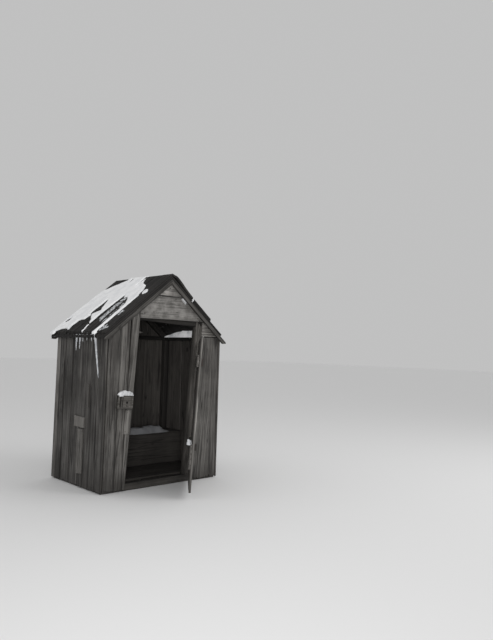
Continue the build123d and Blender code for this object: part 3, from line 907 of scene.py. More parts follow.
class BoardMesher:
    """Turns the plain solids of one CAD node into worn boards in one mesh."""

    PLAIN_FACES = 14
    SHARP_TURN = 0.5
    CREASE = 42.0
    NARROW = 0.03
    STUBBY = 0.15

    def __init__(self, node: bpy.types.Object, plan: BoardSet) -> None:
        """Takes a node and the plan for its boards.

        Args:
            node: The CAD node.
            plan: How its boards look.
        """
        self.node = node
        self.wear = plan.wear
        self.levels = plan.levels
        self.upright = plan.upright
        self.curls = {index: (length, height) for index, length, height in plan.curls}
        self.short = dict(plan.short)
        self.boards: list[Board] = []

    def build(self, name: str) -> bpy.types.Object:
        """Makes the piece.

        Args:
            name: Its name.

        Returns:
            The new object, with the attributes that the wood finishes read.
        """
        places, faces, columns = [], [], {key: [] for key in ("wood", "tone", "indoor", "edge", "shade")}
        offset = 0
        for index, mesh in enumerate(island_meshes(self.node)):
            board = board_of(mesh, self.upright)
            if index in self.short:
                break_off(mesh, board, self.short[index])
                board = board_of(mesh, self.upright)
            self.boards.append(board)
            chance = random.Random(f"{self.node.name} {index}")
            checks = self._checks(board, chance)
            self._cut(mesh, board, checks, chance)
            mesh.verts.index_update()
            points = np.array([vertex.co for vertex in mesh.verts])
            local = self._local(points, board)
            if index in self.curls:
                length, height = self.curls[index]
                from_head = board.half[0] - local[:, 0]
                fall = 1.0 - 0.8 * ramp(from_head, 0.09, length)
                local[:, 2] += height * ramp(from_head, 0.0, 0.08) * fall
            moved, local_moved = self._worn(local, board, checks, chance)
            places.append(moved)
            faces.extend([offset + vertex.index for vertex in face.verts] for face in mesh.faces)
            offset += len(points)
            level = self.levels[index] if index < len(self.levels) else chance.uniform(0.75, 1.25)
            self._note(columns, local_moved, board, chance, index, level)
            mesh.free()
        made = bpy.data.meshes.new(name)
        made.from_pydata(np.concatenate(places).tolist(), [], faces)
        made.update()
        for label, parts in columns.items():
            write_attribute(made, label, np.concatenate(parts))
        piece = link_object(name, made)
        soften(piece, self.CREASE)
        return piece

    @staticmethod
    def _local(points: np.ndarray, board: Board) -> np.ndarray:
        """Places along, across and out from the board's middle."""
        axes = np.array([board.along, board.across, board.out])
        return (points - np.array(board.middle)) @ axes.T

    def _checks(self, board: Board, chance: random.Random) -> list[Point3]:
        """Chooses the drying cracks of a board.

        Args:
            board: The board.
            chance: Its random numbers.

        Returns:
            For each crack its place across the board and its two ends along it.
        """
        count = int(self.wear.checks + chance.random())
        if board.half[1] < self.NARROW or board.half[0] < self.STUBBY:
            count = 0
        checks = []
        for _ in range(count):
            across = chance.uniform(-0.72, 0.72) * board.half[1]
            length = chance.uniform(0.12, 0.5) * board.half[0]
            start = chance.choice((-board.half[0], chance.uniform(-0.9, 0.5) * board.half[0]))
            checks.append((across, start, start + length))
        return checks

    def _cut(
        self, mesh: bmesh.types.BMesh, board: Board, checks: list[Point3], chance: random.Random
    ) -> None:
        """Rounds the arrises and cuts the faces into a grid that follows the board.

        Args:
            mesh: The solid, which is changed.
            board: How it lies.
            checks: The cracks, which need their own cuts.
            chance: The board's random numbers.
        """
        wear = self.wear
        if len(mesh.faces) <= self.PLAIN_FACES:
            round_arrises(mesh, self.SHARP_TURN, min(wear.arris, 0.3 * min(board.half)), 2)
        else:
            bmesh.ops.triangulate(mesh, faces=mesh.faces)
        rows = max(2, round(2 * board.half[0] / wear.row))
        spacing = 2 * board.half[0] / rows
        cuts = [-board.half[0] + spacing * (step + chance.uniform(-0.2, 0.2)) for step in range(1, rows)]
        if wear.foot_rag:
            cuts.append(-board.half[0] + 0.3 * spacing)
        if wear.head_rag:
            cuts.append(board.half[0] - 0.3 * spacing)
        lines = max(2, round(2 * board.half[1] / wear.column))
        ribs = [-board.half[1] + 2 * board.half[1] * step / lines for step in range(1, lines)]
        for across, _, _ in checks:
            ribs = [rib for rib in ribs if abs(rib - across) > 2.2 * wear.check_width]
            ribs += [across - wear.check_width, across, across + wear.check_width]
        for axis, cut_places in ((board.along, cuts), (board.across, ribs)):
            for place in cut_places:
                geometry = mesh.verts[:] + mesh.edges[:] + mesh.faces[:]
                bmesh.ops.bisect_plane(
                    mesh, geom=geometry, dist=TOUCHING, plane_co=board.middle + axis * place, plane_no=axis
                )

    def _worn(
        self, local: np.ndarray, board: Board, checks: list[Point3], chance: random.Random
    ) -> tuple[np.ndarray, np.ndarray]:
        """Moves the grid's points as age does: cupped, bowed, ragged and cracked.

        Args:
            local: Points along, across and out from the board's middle.
            board: How the board lies.
            checks: Its cracks.
            chance: Its random numbers.

        Returns:
            The points in the building and along the board.
        """
        wear = self.wear
        noise = SmoothNoise(chance.randrange(1, SEEDS))
        along, across, out = local.T.copy()
        share = across / board.half[1]
        outer = ramp(out, 0.0, board.half[2] * 0.8)
        own = chance.uniform(-1, 1)
        lift = wear.shift * own + wear.bow * noise.plane(along * 1.7 + 3.0, 0.5)
        lift = lift + wear.cup * chance.choice((-1.0, 0.6, 1.0)) * (share**2 - 0.4)
        side = np.where(share > 0, 20.5, 8.5)
        wavy = noise.plane(along * 7.0, side) + 0.6 * noise.plane(along * 29.0, side + 3.0)
        slip = -wear.wobble * (0.5 + 0.5 * wavy) * np.sign(share) * np.abs(share) ** 3
        rag_along = np.zeros_like(along)
        for rag, end in ((wear.foot_rag, -1.0), (wear.head_rag, 1.0)):
            if rag:
                depth = np.abs(noise.plane(across * 55.0, 31.0 + end)) + 0.7 * np.abs(
                    noise.plane(across * 150.0, 40.0 + end)
                )
                depth = depth + 0.5 * (1 + noise.plane(across * 9.0, 50.0 + end))
                reach = 2.5 * rag + 0.03
                near = 1.0 - np.clip((board.half[0] - end * along) / reach, 0.0, 1.0)
                rag_along -= end * rag * depth * near
        for place, start, end in checks:
            on_line = np.abs(across - place) < wear.check_width * 0.3
            width = np.clip(np.minimum(along - start, end - along) / 0.06, 0.0, 1.0)
            at_end = (start <= -board.half[0] + TOUCHING) & (along < start + 0.03)
            width = np.where(at_end, 1.0, width)
            lift = lift - wear.check_depth * width * on_line * outer
        moved = np.stack([along + rag_along, across + slip, out + lift], axis=1)
        axes = np.array([board.along, board.across, board.out])
        return moved @ axes + np.array(board.middle), np.stack([along, across, out], axis=1)

    @staticmethod
    def _note(
        columns: dict[str, list[np.ndarray]],
        local: np.ndarray,
        board: Board,
        chance: random.Random,
        index: int,
        level: float,
    ) -> None:
        """Adds a board's attributes to the columns.

        Args:
            columns: The attribute values gathered so far.
            local: The board's points along, across and out.
            board: How it lies.
            chance: Its random numbers.
            index: Its number in the node.
            level: How bright it is.
        """
        pith = np.array(
            [
                7.31 * index + chance.uniform(0, 5.0),
                chance.uniform(-0.6, 0.6) * board.half[1],
                chance.choice((-1, 1)) * chance.uniform(0.03, 0.09),
            ]
        )
        columns["wood"].append(local + pith)
        columns["tone"].append(np.full(len(local), level))
        noise = SmoothNoise(chance.randrange(1, SEEDS))
        # Partly painted shade, partly dirt: a patchy dark band along each side of the board, by its joint.
        shade = np.zeros(len(local))
        for side in (-1.0, 1.0):
            fade = 1.0 - ramp(board.half[1] - side * local[:, 1], 0.0, chance.uniform(0.014, 0.030))
            patchy = ramp(noise.plane(local[:, 0] * 3.0, 12.5 + 9.0 * side), -0.7, 0.3)
            shade = np.maximum(shade, fade * patchy * chance.uniform(0.55, 1.0))
        columns["shade"].append(shade)
        # Mask of the painted shade: 1 on the side of the board that faces the room, 0 on its outer face.
        depth = (local[:, 2] + board.half[2]) / (2 * board.half[2])
        columns["indoor"].append(1.0 - ramp(depth, 0.1, 0.6))
        from_side = board.half[1] - np.abs(local[:, 1])
        from_face = board.half[2] - np.abs(local[:, 2])
        columns["edge"].append(1.0 - ramp(np.maximum(from_side, from_face), 0.001, 0.006))


def soften(piece: bpy.types.Object, angle: float) -> None:
    """Shades a piece smooth but for its sharp edges.

    Args:
        piece: The piece.
        angle: Edges that turn by more than this many degrees stay sharp.
    """
    mesh = bmesh.new()
    mesh.from_mesh(piece.data)
    mesh.normal_update()
    limit = math.radians(angle)
    for edge in mesh.edges:
        edge.smooth = not (edge.is_manifold and edge.calc_face_angle(0.0) > limit)
    for face in mesh.faces:
        face.smooth = True
    mesh.to_mesh(piece.data)
    mesh.free()


def mount_piece(
    piece: bpy.types.Object, finish: bpy.types.Material, body: str, replaced: Sequence[str] = ()
) -> None:
    """Gives a finished piece its material and its body, hides the CAD nodes that it stands for and logs it.

    Args:
        piece: The piece.
        finish: Its material.
        body: The CAD body that it rides on.
        replaced: CAD nodes that it stands for.
    """
    piece.data.materials.clear()
    piece.data.materials.append(finish)
    if replaced:
        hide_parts(*replaced)
    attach(piece, body)
    log.info("%s: %d faces on %s", piece.name, len(piece.data.polygons), body)


# Parts of the building


SIDE_WEAR = BoardWear(foot_rag=0.010, cup=0.0016, checks=2.2)
FRONT_WEAR = BoardWear(foot_rag=0.014, cup=0.0014, checks=1.8, head_rag=0.0)
RIGHT_WEAR = BoardWear(foot_rag=0.022, head_rag=0.004, cup=0.0014, checks=1.8)
GABLE_WEAR = BoardWear(cup=0.0010, checks=0.8, wobble=0.0050)
COVER_WEAR = BoardWear(foot_rag=0.014, cup=0.0020, bow=0.0022, wobble=0.0040, shift=0.0015, checks=1.6)
TIMBER_WEAR = BoardWear(row=0.06, column=0.02, arris=0.004, checks=0.8, check_width=0.0018)
DOOR_WEAR = BoardWear(foot_rag=0.008, cup=0.0006, bow=0.0004, wobble=0.0006, shift=0.0003, checks=1.2)
INNER_WEAR = BoardWear(row=0.05, column=0.018, checks=0.8)
LEFT_WALL_LEVELS = (0.95, 0.85, 1.0, 0.85, 1.1, 0.9, 1.05, 0.8, 1.7)
PATCH_WEAR = BoardWear(foot_rag=0.004, head_rag=0.006)
KEEPER_WEAR = BoardWear(row=0.012, column=0.012, wobble=0.0003, cup=0.0, bow=0.0003, shift=0.0, checks=0.0)
RAKE_WEAR = BoardWear(foot_rag=0.004, wobble=0.002)
SPLINTER_WEAR = BoardWear(row=0.01, column=0.006)

BOARD_SETS = (
    BoardSet("left_wall_boards", SHADED_SIDE_WOOD, "wall_boards", SIDE_WEAR, levels=LEFT_WALL_LEVELS),
    BoardSet("right_wall_boards", SHADED_SIDE_WOOD, "wall_boards", SIDE_WEAR),
    BoardSet("back_wall_boards", SHADED_SIDE_WOOD, "wall_boards", SIDE_WEAR),
    BoardSet("front_boards_left", WALL_WOOD, "wall_boards", FRONT_WEAR, levels=(0.85, 1.0, 1.0)),
    BoardSet("front_boards_right", WALL_WOOD, "wall_boards", RIGHT_WEAR, levels=(0.9, 0.72)),
    # Painted light: the top gable board's level of 1.5 brightens it against the roof overhang's shade.
    BoardSet("gable_board_top", GABLE_WOOD, "gable_boards", GABLE_WEAR, levels=(1.5,)),
    BoardSet("gable_board_main", GABLE_WOOD, "gable_boards", GABLE_WEAR, levels=(0.95,)),
    # Painted light: the stub's level of 1.8 brightens it against the rake's shadow.
    BoardSet("gable_board_stub", WALL_WOOD, "gable_boards", GABLE_WEAR, levels=(1.8,)),
    BoardSet("gable_board_splinter", WALL_WOOD, "gable_boards", SPLINTER_WEAR),
    BoardSet(
        "left_wall_patches", PATCH_WOOD, "wall_boards", PATCH_WEAR, levels=(0.8, 0.95, 1.15), upright=True
    ),
    BoardSet("jamb_patch", PATCH_WOOD, "wall_boards", PATCH_WEAR, levels=(1.15,)),
    BoardSet("latch_keeper", KEEPER_WOOD, "wall_boards", KEEPER_WEAR, levels=(1.0,)),
    BoardSet("roof_boards_left", ROOF_WOOD, "roof_boards", INNER_WEAR),
    BoardSet("roof_boards_right", ROOF_WOOD, "roof_boards", INNER_WEAR, short=((0, 0.115),)),
    BoardSet("roof_covers_left", ROOF_WOOD, "roof_boards", COVER_WEAR),
    BoardSet("roof_covers_right", ROOF_WOOD, "roof_boards", COVER_WEAR, curls=((0, 0.34, 0.024),)),
    BoardSet("rakes_front", RAKE_WOOD, "roof_boards", RAKE_WEAR, levels=(1.0, 1.0)),
    BoardSet("rakes_back", RAKE_WOOD, "roof_boards", RAKE_WEAR),
    BoardSet("floor_boards", SHADED_INNER_WOOD, "inner_boards", INNER_WEAR),
    BoardSet("seat_boards", SHADED_INNER_WOOD, "inner_boards", INNER_WEAR),
    BoardSet("seat_riser", SHADED_INNER_WOOD, "inner_boards", INNER_WEAR),
    BoardSet("door_boards", DOOR_WOOD, "wall_boards", DOOR_WEAR, DOOR),
    BoardSet("door_ledge_lower", DOOR_WOOD, "wall_boards", DOOR_WEAR, DOOR),
    BoardSet("door_ledge_upper", DOOR_WOOD, "wall_boards", DOOR_WEAR, DOOR),
) + tuple(
    BoardSet(node, finish, "frame_timber", TIMBER_WEAR)
    for finish, nodes in (
        (FRAME_WOOD, ("sill_left", "sill_right", "sill_front", "sill_back", "floor_joist")),
        (SHADED_INNER_WOOD, ("corner_post_front_left", "corner_post_front_right")),
        (SHADED_INNER_WOOD, ("corner_post_back_left", "corner_post_back_right")),
        (POST_WOOD_SHADED_INSIDE, ("door_post_left", "door_post_right")),
        (SHADED_LOFT_WOOD, ("plate_left", "plate_right", "plate_back")),
        (SHADED_HEADER_WOOD, ("door_header",)),
        (SHADED_LOFT_WOOD, ("ridge_beam", "rafters_front", "rafters_back")),
        (SHADED_INNER_WOOD, ("seat_cleats",)),
    )
    for node in nodes
)


@dataclass
class Woodwork:
    """Every board and timber of the building, dressed one node at a time."""

    nodes: dict[str, bpy.types.Object]
    boards: dict[str, list[Board]] = field(default_factory=dict)
    pieces: dict[str, bpy.types.Object] = field(default_factory=dict)

    def build(self) -> None:
        """Dresses every set of boards and keeps how each board lies."""
        for plan in BOARD_SETS:
            mesher = BoardMesher(self.nodes[plan.node], plan)
            piece = mesher.build(plan.node + "_worn")
            self.boards[plan.node] = mesher.boards
            self.pieces[plan.node] = piece
            mount_piece(piece, plan.finish.material(), plan.body, (plan.node,))


# Roof snow and frost


@dataclass(frozen=True)
class Slope:
    """One side of the roof. Places on it are measured from its front edge and down from the ridge."""

    corner: Vector
    down: Vector
    out: Vector
    depth: float
    length: float

    @classmethod
    def of(cls, covers: Sequence[Board]) -> Slope:
        """The slope that a set of cover boards makes.

        Args:
            covers: The boards of one side's upper layer.

        Returns:
            The slope on their upper faces.
        """
        whole = max(covers, key=lambda board: board.half[0])
        front = min(board.middle.y - board.half[1] for board in covers)
        back = max(board.middle.y + board.half[1] for board in covers)
        ridge = whole.middle + whole.along * whole.half[0] + whole.out * whole.half[2]
        corner = Vector((ridge.x, front, ridge.z))
        return cls(corner, -whole.along, whole.out, back - front, 2 * whole.half[0])

    def measure(self, points: np.ndarray) -> tuple[np.ndarray, np.ndarray]:
        """Distances of points from the front edge and down from the ridge."""
        from_corner = points - np.array(self.corner)
        return from_corner[:, 1], from_corner @ np.array(self.down)


@dataclass(frozen=True)
class Area:
    """A closed outline on a slope, in metres from the front edge and down from the ridge."""

    outline: tuple[Point2, ...]
    amount: float = 1.0

    def depth_inside(self, y: np.ndarray, s: np.ndarray) -> np.ndarray:
        """Signed distance into the area."""
        return inside_distance(self.outline, y, s)


def oval(middle: Point2, half_y: float, half_s: float) -> Area:
    """A rounded area.

    Args:
        middle: Its middle.
        half_y: Half its width along the ridge.
        half_s: Half its length down the slope.

    Returns:
        The area, with ten corners.
    """
    turns = [math.tau * index / 10 for index in range(10)]
    return Area(
        tuple((middle[0] + half_y * math.cos(turn), middle[1] + half_s * math.sin(turn)) for turn in turns)
    )


@dataclass(frozen=True)
class SnowCover:
    """How snow and frost lie on one slope."""

    bare: tuple[Area, ...]
    spots: tuple[Area, ...]
    frost: tuple[Area, ...]
    dips: tuple[float, ...]
    seed: int
    eave_reach: float = 0.002
    warp: float = 0.005

    def depth_inside(self, slope: Slope, y: np.ndarray, s: np.ndarray) -> np.ndarray:
        """Signed distance into the snow, with a ragged edge.

        Args:
            slope: The slope.
            y: Distances from its front edge.
            s: Distances down from the ridge.

        Returns:
            The distances, positive where snow lies.
        """
        noise = SmoothNoise(self.seed)
        y_ragged = y + self.warp * noise.plane(s * 26.0, y * 40.0) + 0.003 * noise.plane(s * 90.0, y * 110.0)
        s_ragged = s + 1.6 * self.warp * noise.plane(s * 20.0 + 9.0, y * 30.0 + 5.0)
        eave = slope.length + self.eave_reach * (1.0 + noise.plane(y * 34.0, 3.0)) - s_ragged
        inside = np.minimum(eave, np.minimum(y_ragged + 0.004, slope.depth + 0.004 - y_ragged))
        for area in self.bare:
            inside = np.minimum(inside, -area.depth_inside(y_ragged, s_ragged))
        for area in self.spots:
            inside = np.maximum(inside, area.depth_inside(y_ragged, s_ragged))
        return inside

    def frost_amount(self, slope: Slope, y: np.ndarray, s: np.ndarray) -> np.ndarray:
        """How much frost clings to the bare boards, from 0 to 1.

        Args:
            slope: The slope.
            y: Distances from its front edge.
            s: Distances down from the ridge.

        Returns:
            The amounts.
        """
        amount = 0.5 * ramp(self.depth_inside(slope, y, s), -0.03, 0.0)
        for area in self.frost:
            amount = np.maximum(amount, area.amount * ramp(area.depth_inside(y, s), -0.012, 0.03))
        return amount


# A distance down the slope that lies past the eave.
LOW = 1.3
LEFT_COVER = SnowCover(
    bare=(
        Area(((-0.1, -0.03), (0.175, -0.03), (0.175, LOW), (-0.1, LOW))),
        Area((
            (0.17, -0.03), (0.51, -0.03), (0.47, 0.06), (0.44, 0.11), (0.4, 0.15), (0.28, 0.205),
            (0.225, 0.285), (0.215, 0.35), (0.19, 0.4), (0.165, 0.4),
        )),
        Area(((0.48, 0.2), (0.47, 0.09), (0.495, -0.03), (0.525, -0.03), (0.51, 0.08), (0.5, 0.19))),
        Area((
            (0.325, 0.455), (0.365, 0.43), (0.45, 0.42), (0.465, 0.39), (0.5, 0.38), (0.515, 0.5),
            (0.53, 0.7), (0.525, 0.93), (0.49, LOW), (0.225, LOW), (0.225, 0.975), (0.23, 0.81),
            (0.235, 0.655), (0.25, 0.56), (0.3, 0.49),
        )),
        Area((
            (0.47, LOW), (0.47, 1.08), (0.505, 0.935), (0.595, 0.83), (0.65, 0.795), (0.7, 0.745),
            (0.73, 0.75), (0.76, 0.815), (0.86, 0.835), (0.87, 0.935), (0.82, 1.05), (0.81, LOW),
        )),
        Area((
            (0.775, 0.44), (0.73, 0.455), (0.67, 0.575), (0.645, 0.635), (0.605, 0.675), (0.68, 0.71),
            (0.72, 0.755), (0.78, 0.715), (0.795, 0.65), (0.785, 0.6), (0.78, 0.545),
        )),
        Area((
            (1.3, 0.245), (1.17, 0.235), (1.085, 0.195), (1.02, 0.14), (0.94, 0.095), (0.89, 0.07),
            (0.85, 0.045), (0.86, -0.03), (1.3, -0.03),
        )),
        Area(((0.78, LOW), (0.8, 1.02), (0.86, 1.0), (0.95, 0.985), (1.03, 1.0), (1.1, 1.03), (1.14, LOW))),
        Area(((0.735, 0.125), (0.74, 0.04), (0.765, -0.03), (0.8, -0.03), (0.785, 0.035), (0.765, 0.115))),
        Area(((1.075, 0.8), (1.12, 0.77), (1.16, 0.8), (1.15, 0.86), (1.11, 0.89), (1.07, 0.85))),
    ),
    spots=(
        Area(((0.165, 0.355), (0.175, 0.31), (0.14, 0.3), (0.1, 0.315), (0.09, 0.36), (0.14, 0.385))),
        Area(((0.505, 0.92), (0.52, 0.92), (0.49, 1.05), (0.48, 1.05))),
    ),
    frost=(
        Area((
            (0.47, 0.4), (0.35, 0.43), (0.35, 0.685), (0.335, 0.815), (0.325, 0.92), (0.46, 0.83),
            (0.48, 0.595),
        ), 1.0),
        Area(((0.225, 0.5), (0.345, 0.44), (0.33, 0.9), (0.225, 0.98)), 0.86),
        Area(((0.15, 0.795), (0.19, 0.72), (0.16, 0.66), (0.11, 0.65), (0.085, 0.69), (0.11, 0.81)), 1.0),
        Area((
            (0.185, 1.05), (0.255, 0.98), (0.19, 0.93), (0.125, 0.9), (0.015, 0.94), (0.035, 1.0),
            (0.1, 1.05),
        ), 0.98),
        Area(((0.235, 1.0), (0.49, 1.0), (0.49, LOW), (0.235, LOW)), 0.48),
        Area(((0.49, 1.03), (1.2, 1.03), (1.2, LOW), (0.49, LOW)), 0.46),
        Area(((0.02, 0.05), (0.17, 0.05), (0.17, 0.6), (0.02, 0.6)), 0.32),
    ),
    dips=(0.182, 0.316, 0.486, 0.655, 0.825, 1.0),
    seed=41,
)
RIGHT_COVER = SnowCover(
    bare=(
        Area(((-0.1, -0.03), (0.165, -0.03), (0.165, LOW), (-0.1, LOW))),
        Area(((-0.1, -0.03), (0.47, -0.03), (0.47, 0.01), (-0.1, 0.01))),
        Area(((0.15, 0.86), (0.33, 0.93), (0.36, LOW), (0.15, LOW))),
        Area(((0.66, 0.98), (0.85, 0.9), (0.87, LOW), (0.64, LOW))),
        Area(((1.3, 0.3), (1.13, 0.28), (1.1, 0.12), (1.0, 0.05), (0.86, 0.02), (0.86, -0.03), (1.3, -0.03))),
        Area(((0.495, 0.52), (0.51, 0.5), (0.51, 0.8), (0.5, 0.82))),
    ),
    spots=(oval((0.06, 0.395), 0.05, 0.013), oval((0.1, 0.74), 0.04, 0.02)),
    frost=(
        Area(((0.02, 0.7), (0.165, 0.72), (0.165, 1.05), (0.02, 1.0)), 0.58),
        Area(((0.15, 0.82), (0.4, 0.88), (0.4, LOW), (0.15, LOW)), 0.58),
        Area(((0.0, 1.0), (1.2, 1.0), (1.2, LOW), (0.0, LOW)), 0.45),
    ),
    dips=(0.165, 0.34, 0.505, 0.67, 0.85, 1.01),
    seed=67,
)


@dataclass(frozen=True)
class RoofSnow:
    """The thin snow on both slopes, one sheet that bends over the ridge."""

    left: Slope
    right: Slope
    cell: float = 0.008
    thickness: float = 0.010
    sunk: float = 0.008
    rim: float = 0.006
    bend: float = 0.022
    shell: float = 0.0015
    overlap: float = 0.004

    def build(self) -> bpy.types.Object:
        """Makes the sheet.

        Returns:
            The new object, closed underneath.
        """
        reach = self.left.length + 0.03
        rows = int(2 * reach / self.cell)
        columns = int((self.left.depth + 0.02) / self.cell)
        down = np.linspace(-reach, reach, rows + 1)
        back = np.linspace(-0.01, self.left.depth + 0.01, columns + 1)
        y, signed = np.meshgrid(back, down)
        y, signed = y.ravel(), signed.ravel()
        s = np.abs(signed)
        inside = np.where(
            signed > 0, LEFT_COVER.depth_inside(self.left, y, s), RIGHT_COVER.depth_inside(self.right, y, s)
        )
        height = self._height(inside, y, signed)
        share = ramp(signed, -self.bend, self.bend)[:, None]
        out = np.array(self.left.out) * share + np.array(self.right.out) * (1 - share)
        out /= np.linalg.norm(out, axis=1)[:, None]
        slopes = np.where(signed[:, None] > 0, np.array(self.left.down), np.array(self.right.down))
        base = (np.array(self.left.corner) + np.array(self.right.corner)) / 2 + slopes * s[:, None]
        base[:, 1] += y
        top = base + out * height[:, None]
        bottom = base - out * (self.sunk + self.shell)
        return self._mesh(top, bottom, inside, rows, columns)

    def _height(self, inside: np.ndarray, y: np.ndarray, signed: np.ndarray) -> np.ndarray:
        """Height of the snow's surface over the boards.

        Args:
            inside: Signed distance into the snow.
            y: Distance from the front edge.
            signed: Distance down the left slope, or less than 0 down the right one.

        Returns:
            The height, below 0 where there is no snow.
        """
        noise = SmoothNoise(12)
        thick = self.thickness + 0.0022 * noise.plane(y * 5.0, signed * 2.5)
        thick = thick + 0.0006 * noise.plane(y * 31.0, signed * 16.0)
        thick = thick + 0.0004 * noise.plane(y * 80.0, signed * 60.0)
        for cover, side in ((LEFT_COVER, signed > 0), (RIGHT_COVER, signed <= 0)):
            for dip in cover.dips:
                depth = 0.0016 * (1.0 + noise.plane(signed * 8.0, dip * 90.0))
                thick = thick - side * depth * np.exp(-(((y - dip) / 0.008) ** 2))
        edge = np.clip(inside / self.rim, 0.0, 1.0)
        rounded = np.sqrt(1.0 - (1.0 - edge) ** 2)
        drift_edge = 1.0 + 0.35 * np.exp(-(((inside - 0.02) / 0.02) ** 2))
        return np.where(inside > 0, thick * rounded * drift_edge, -self.sunk * ramp(-inside, 0.0, 0.005))

    def _mesh(
        self, top: np.ndarray, bottom: np.ndarray, inside: np.ndarray, rows: int, columns: int
    ) -> bpy.types.Object:
        """Joins the cells that hold snow into a closed sheet.

        Args:
            top: Points of the upper surface.
            bottom: Points of the lower surface.
            inside: Signed distance into the snow at each point.
            rows: Number of cells over the ridge.
            columns: Number of cells along it.

        Returns:
            The new object.
        """
        across = columns + 1
        faces, edges = [], {}
        for row in range(rows):
            for column in range(columns):
                first = row * across + column
                corners = (first, first + 1, first + across + 1, first + across)
                if max(inside[corner] for corner in corners) < -self.overlap:
                    continue
                faces.append(corners)
                for start, end in zip(corners, corners[1:] + corners[:1]):
                    edges[(start, end)] = True
        rim = [(start, end) for start, end in edges if (end, start) not in edges]
        used = sorted({corner for face in faces for corner in face})
        place = {corner: index for index, corner in enumerate(used)}
        count = len(used)
        points = np.concatenate([top[used], bottom[used]])
        sheets = [tuple(place[corner] for corner in face) for face in faces]
        under = [tuple(place[corner] + count for corner in reversed(face)) for face in faces]
        sides = [(place[end], place[start], place[start] + count, place[end] + count) for start, end in rim]
        return plain_piece("roof_snow", points, sheets + under + sides)


def plain_piece(
    name: str, points: np.ndarray, faces: Sequence[Sequence[int]], angle: float = 60.0
) -> bpy.types.Object:
    """Makes a closed mesh object with its faces turned outwards.

    Args:
        name: Its name.
        points: Its vertices.
        faces: Its faces.
        angle: Edges that turn by more than this many degrees stay sharp.

    Returns:
        The new object.
    """
    mesh = bpy.data.meshes.new(name)
    mesh.from_pydata(np.asarray(points, float).tolist(), [], [list(face) for face in faces])
    turned = bmesh.new()
    turned.from_mesh(mesh)
    bmesh.ops.recalc_face_normals(turned, faces=turned.faces)
    turned.to_mesh(mesh)
    turned.free()
    piece = link_object(name, mesh)
    soften(piece, angle)
    return piece


def frost_the_boards(piece: bpy.types.Object, slope: Slope, cover: SnowCover) -> None:
    """Writes how much frost clings to each point of a roof piece.

    Args:
        piece: The dressed roof boards.
        slope: Their slope.
        cover: How snow lies on it.
    """
    points = np.empty(len(piece.data.vertices) * 3)
    piece.data.vertices.foreach_get("co", points)
    y, s = slope.measure(points.reshape(-1, 3))
    write_attribute(piece.data, "frost", cover.frost_amount(slope, y, s))


# Small drifts


@dataclass(frozen=True)
class Drift:
    """A rounded bank of snow along a line, with its height given at shares of its length."""

    name: str
    start: Vector
    end: Vector
    half_width: float
    heights: tuple[Point2, ...]
    up: Vector = field(default_factory=lambda: Vector((0.0, 0.0, 1.0)))
    sunk: float = 0.002
    roughness: float = 0.10
    rings: int = 48
    sides: int = 22
    crease: float = 70.0
    body: str = HUT
    slot: str = "roof_boards"
    finish: SnowFinish = OLD_SNOW

    def build(self) -> None:
        """Makes the bank as closed rings and mounts it on its body."""
        along = (self.end - self.start).normalized()
        side = along.cross(self.up).normalized()
        up = side.cross(along)
        noise = SmoothNoise(seed_of(self.name))
        shares = 0.5 - 0.5 * np.cos(np.linspace(0.0, math.pi, self.rings))
        levels = np.interp(shares, *zip(*self.heights))
        turns = np.linspace(0.0, math.tau, self.sides, endpoint=False)
        cosine, sine = np.cos(turns), np.sin(turns)
        points = []
        for share, level in zip(shares, levels):
            blunt = math.sqrt(max(0.0, 1.0 - abs(2 * share - 1) ** 5))
            rough = 1.0 + self.roughness * (
                noise.plane(np.full(self.sides, share * 9.0), turns * 1.3)
                + 0.6 * noise.plane(np.full(self.sides, share * 27.0), turns * 3.1 + 7.0)
            )
            sideways = self.half_width * blunt * np.sign(cosine) * np.abs(cosine) ** 0.75 * rough
            upward = np.where(sine > 0, level * max(blunt, 0.15) * np.abs(sine) ** 0.8 * rough, -self.sunk)
            middle = self.start.lerp(self.end, share)
            for offset, rise in zip(sideways, upward):
                points.append(middle + side * offset + up * rise)
        faces = [
            (ring * self.sides + index, ring * self.sides + (index + 1) % self.sides)
            + ((ring + 1) * self.sides + (index + 1) % self.sides, (ring + 1) * self.sides + index)
            for ring in range(self.rings - 1)
            for index in range(self.sides)
        ]
        faces.append(tuple(range(self.sides)))
        faces.append(tuple((self.rings - 1) * self.sides + index for index in range(self.sides)))
        piece = plain_piece(self.name, np.array(points), faces, self.crease)
        mount_piece(piece, self.finish.material(), self.body)


# Pieces grown by geometry nodes


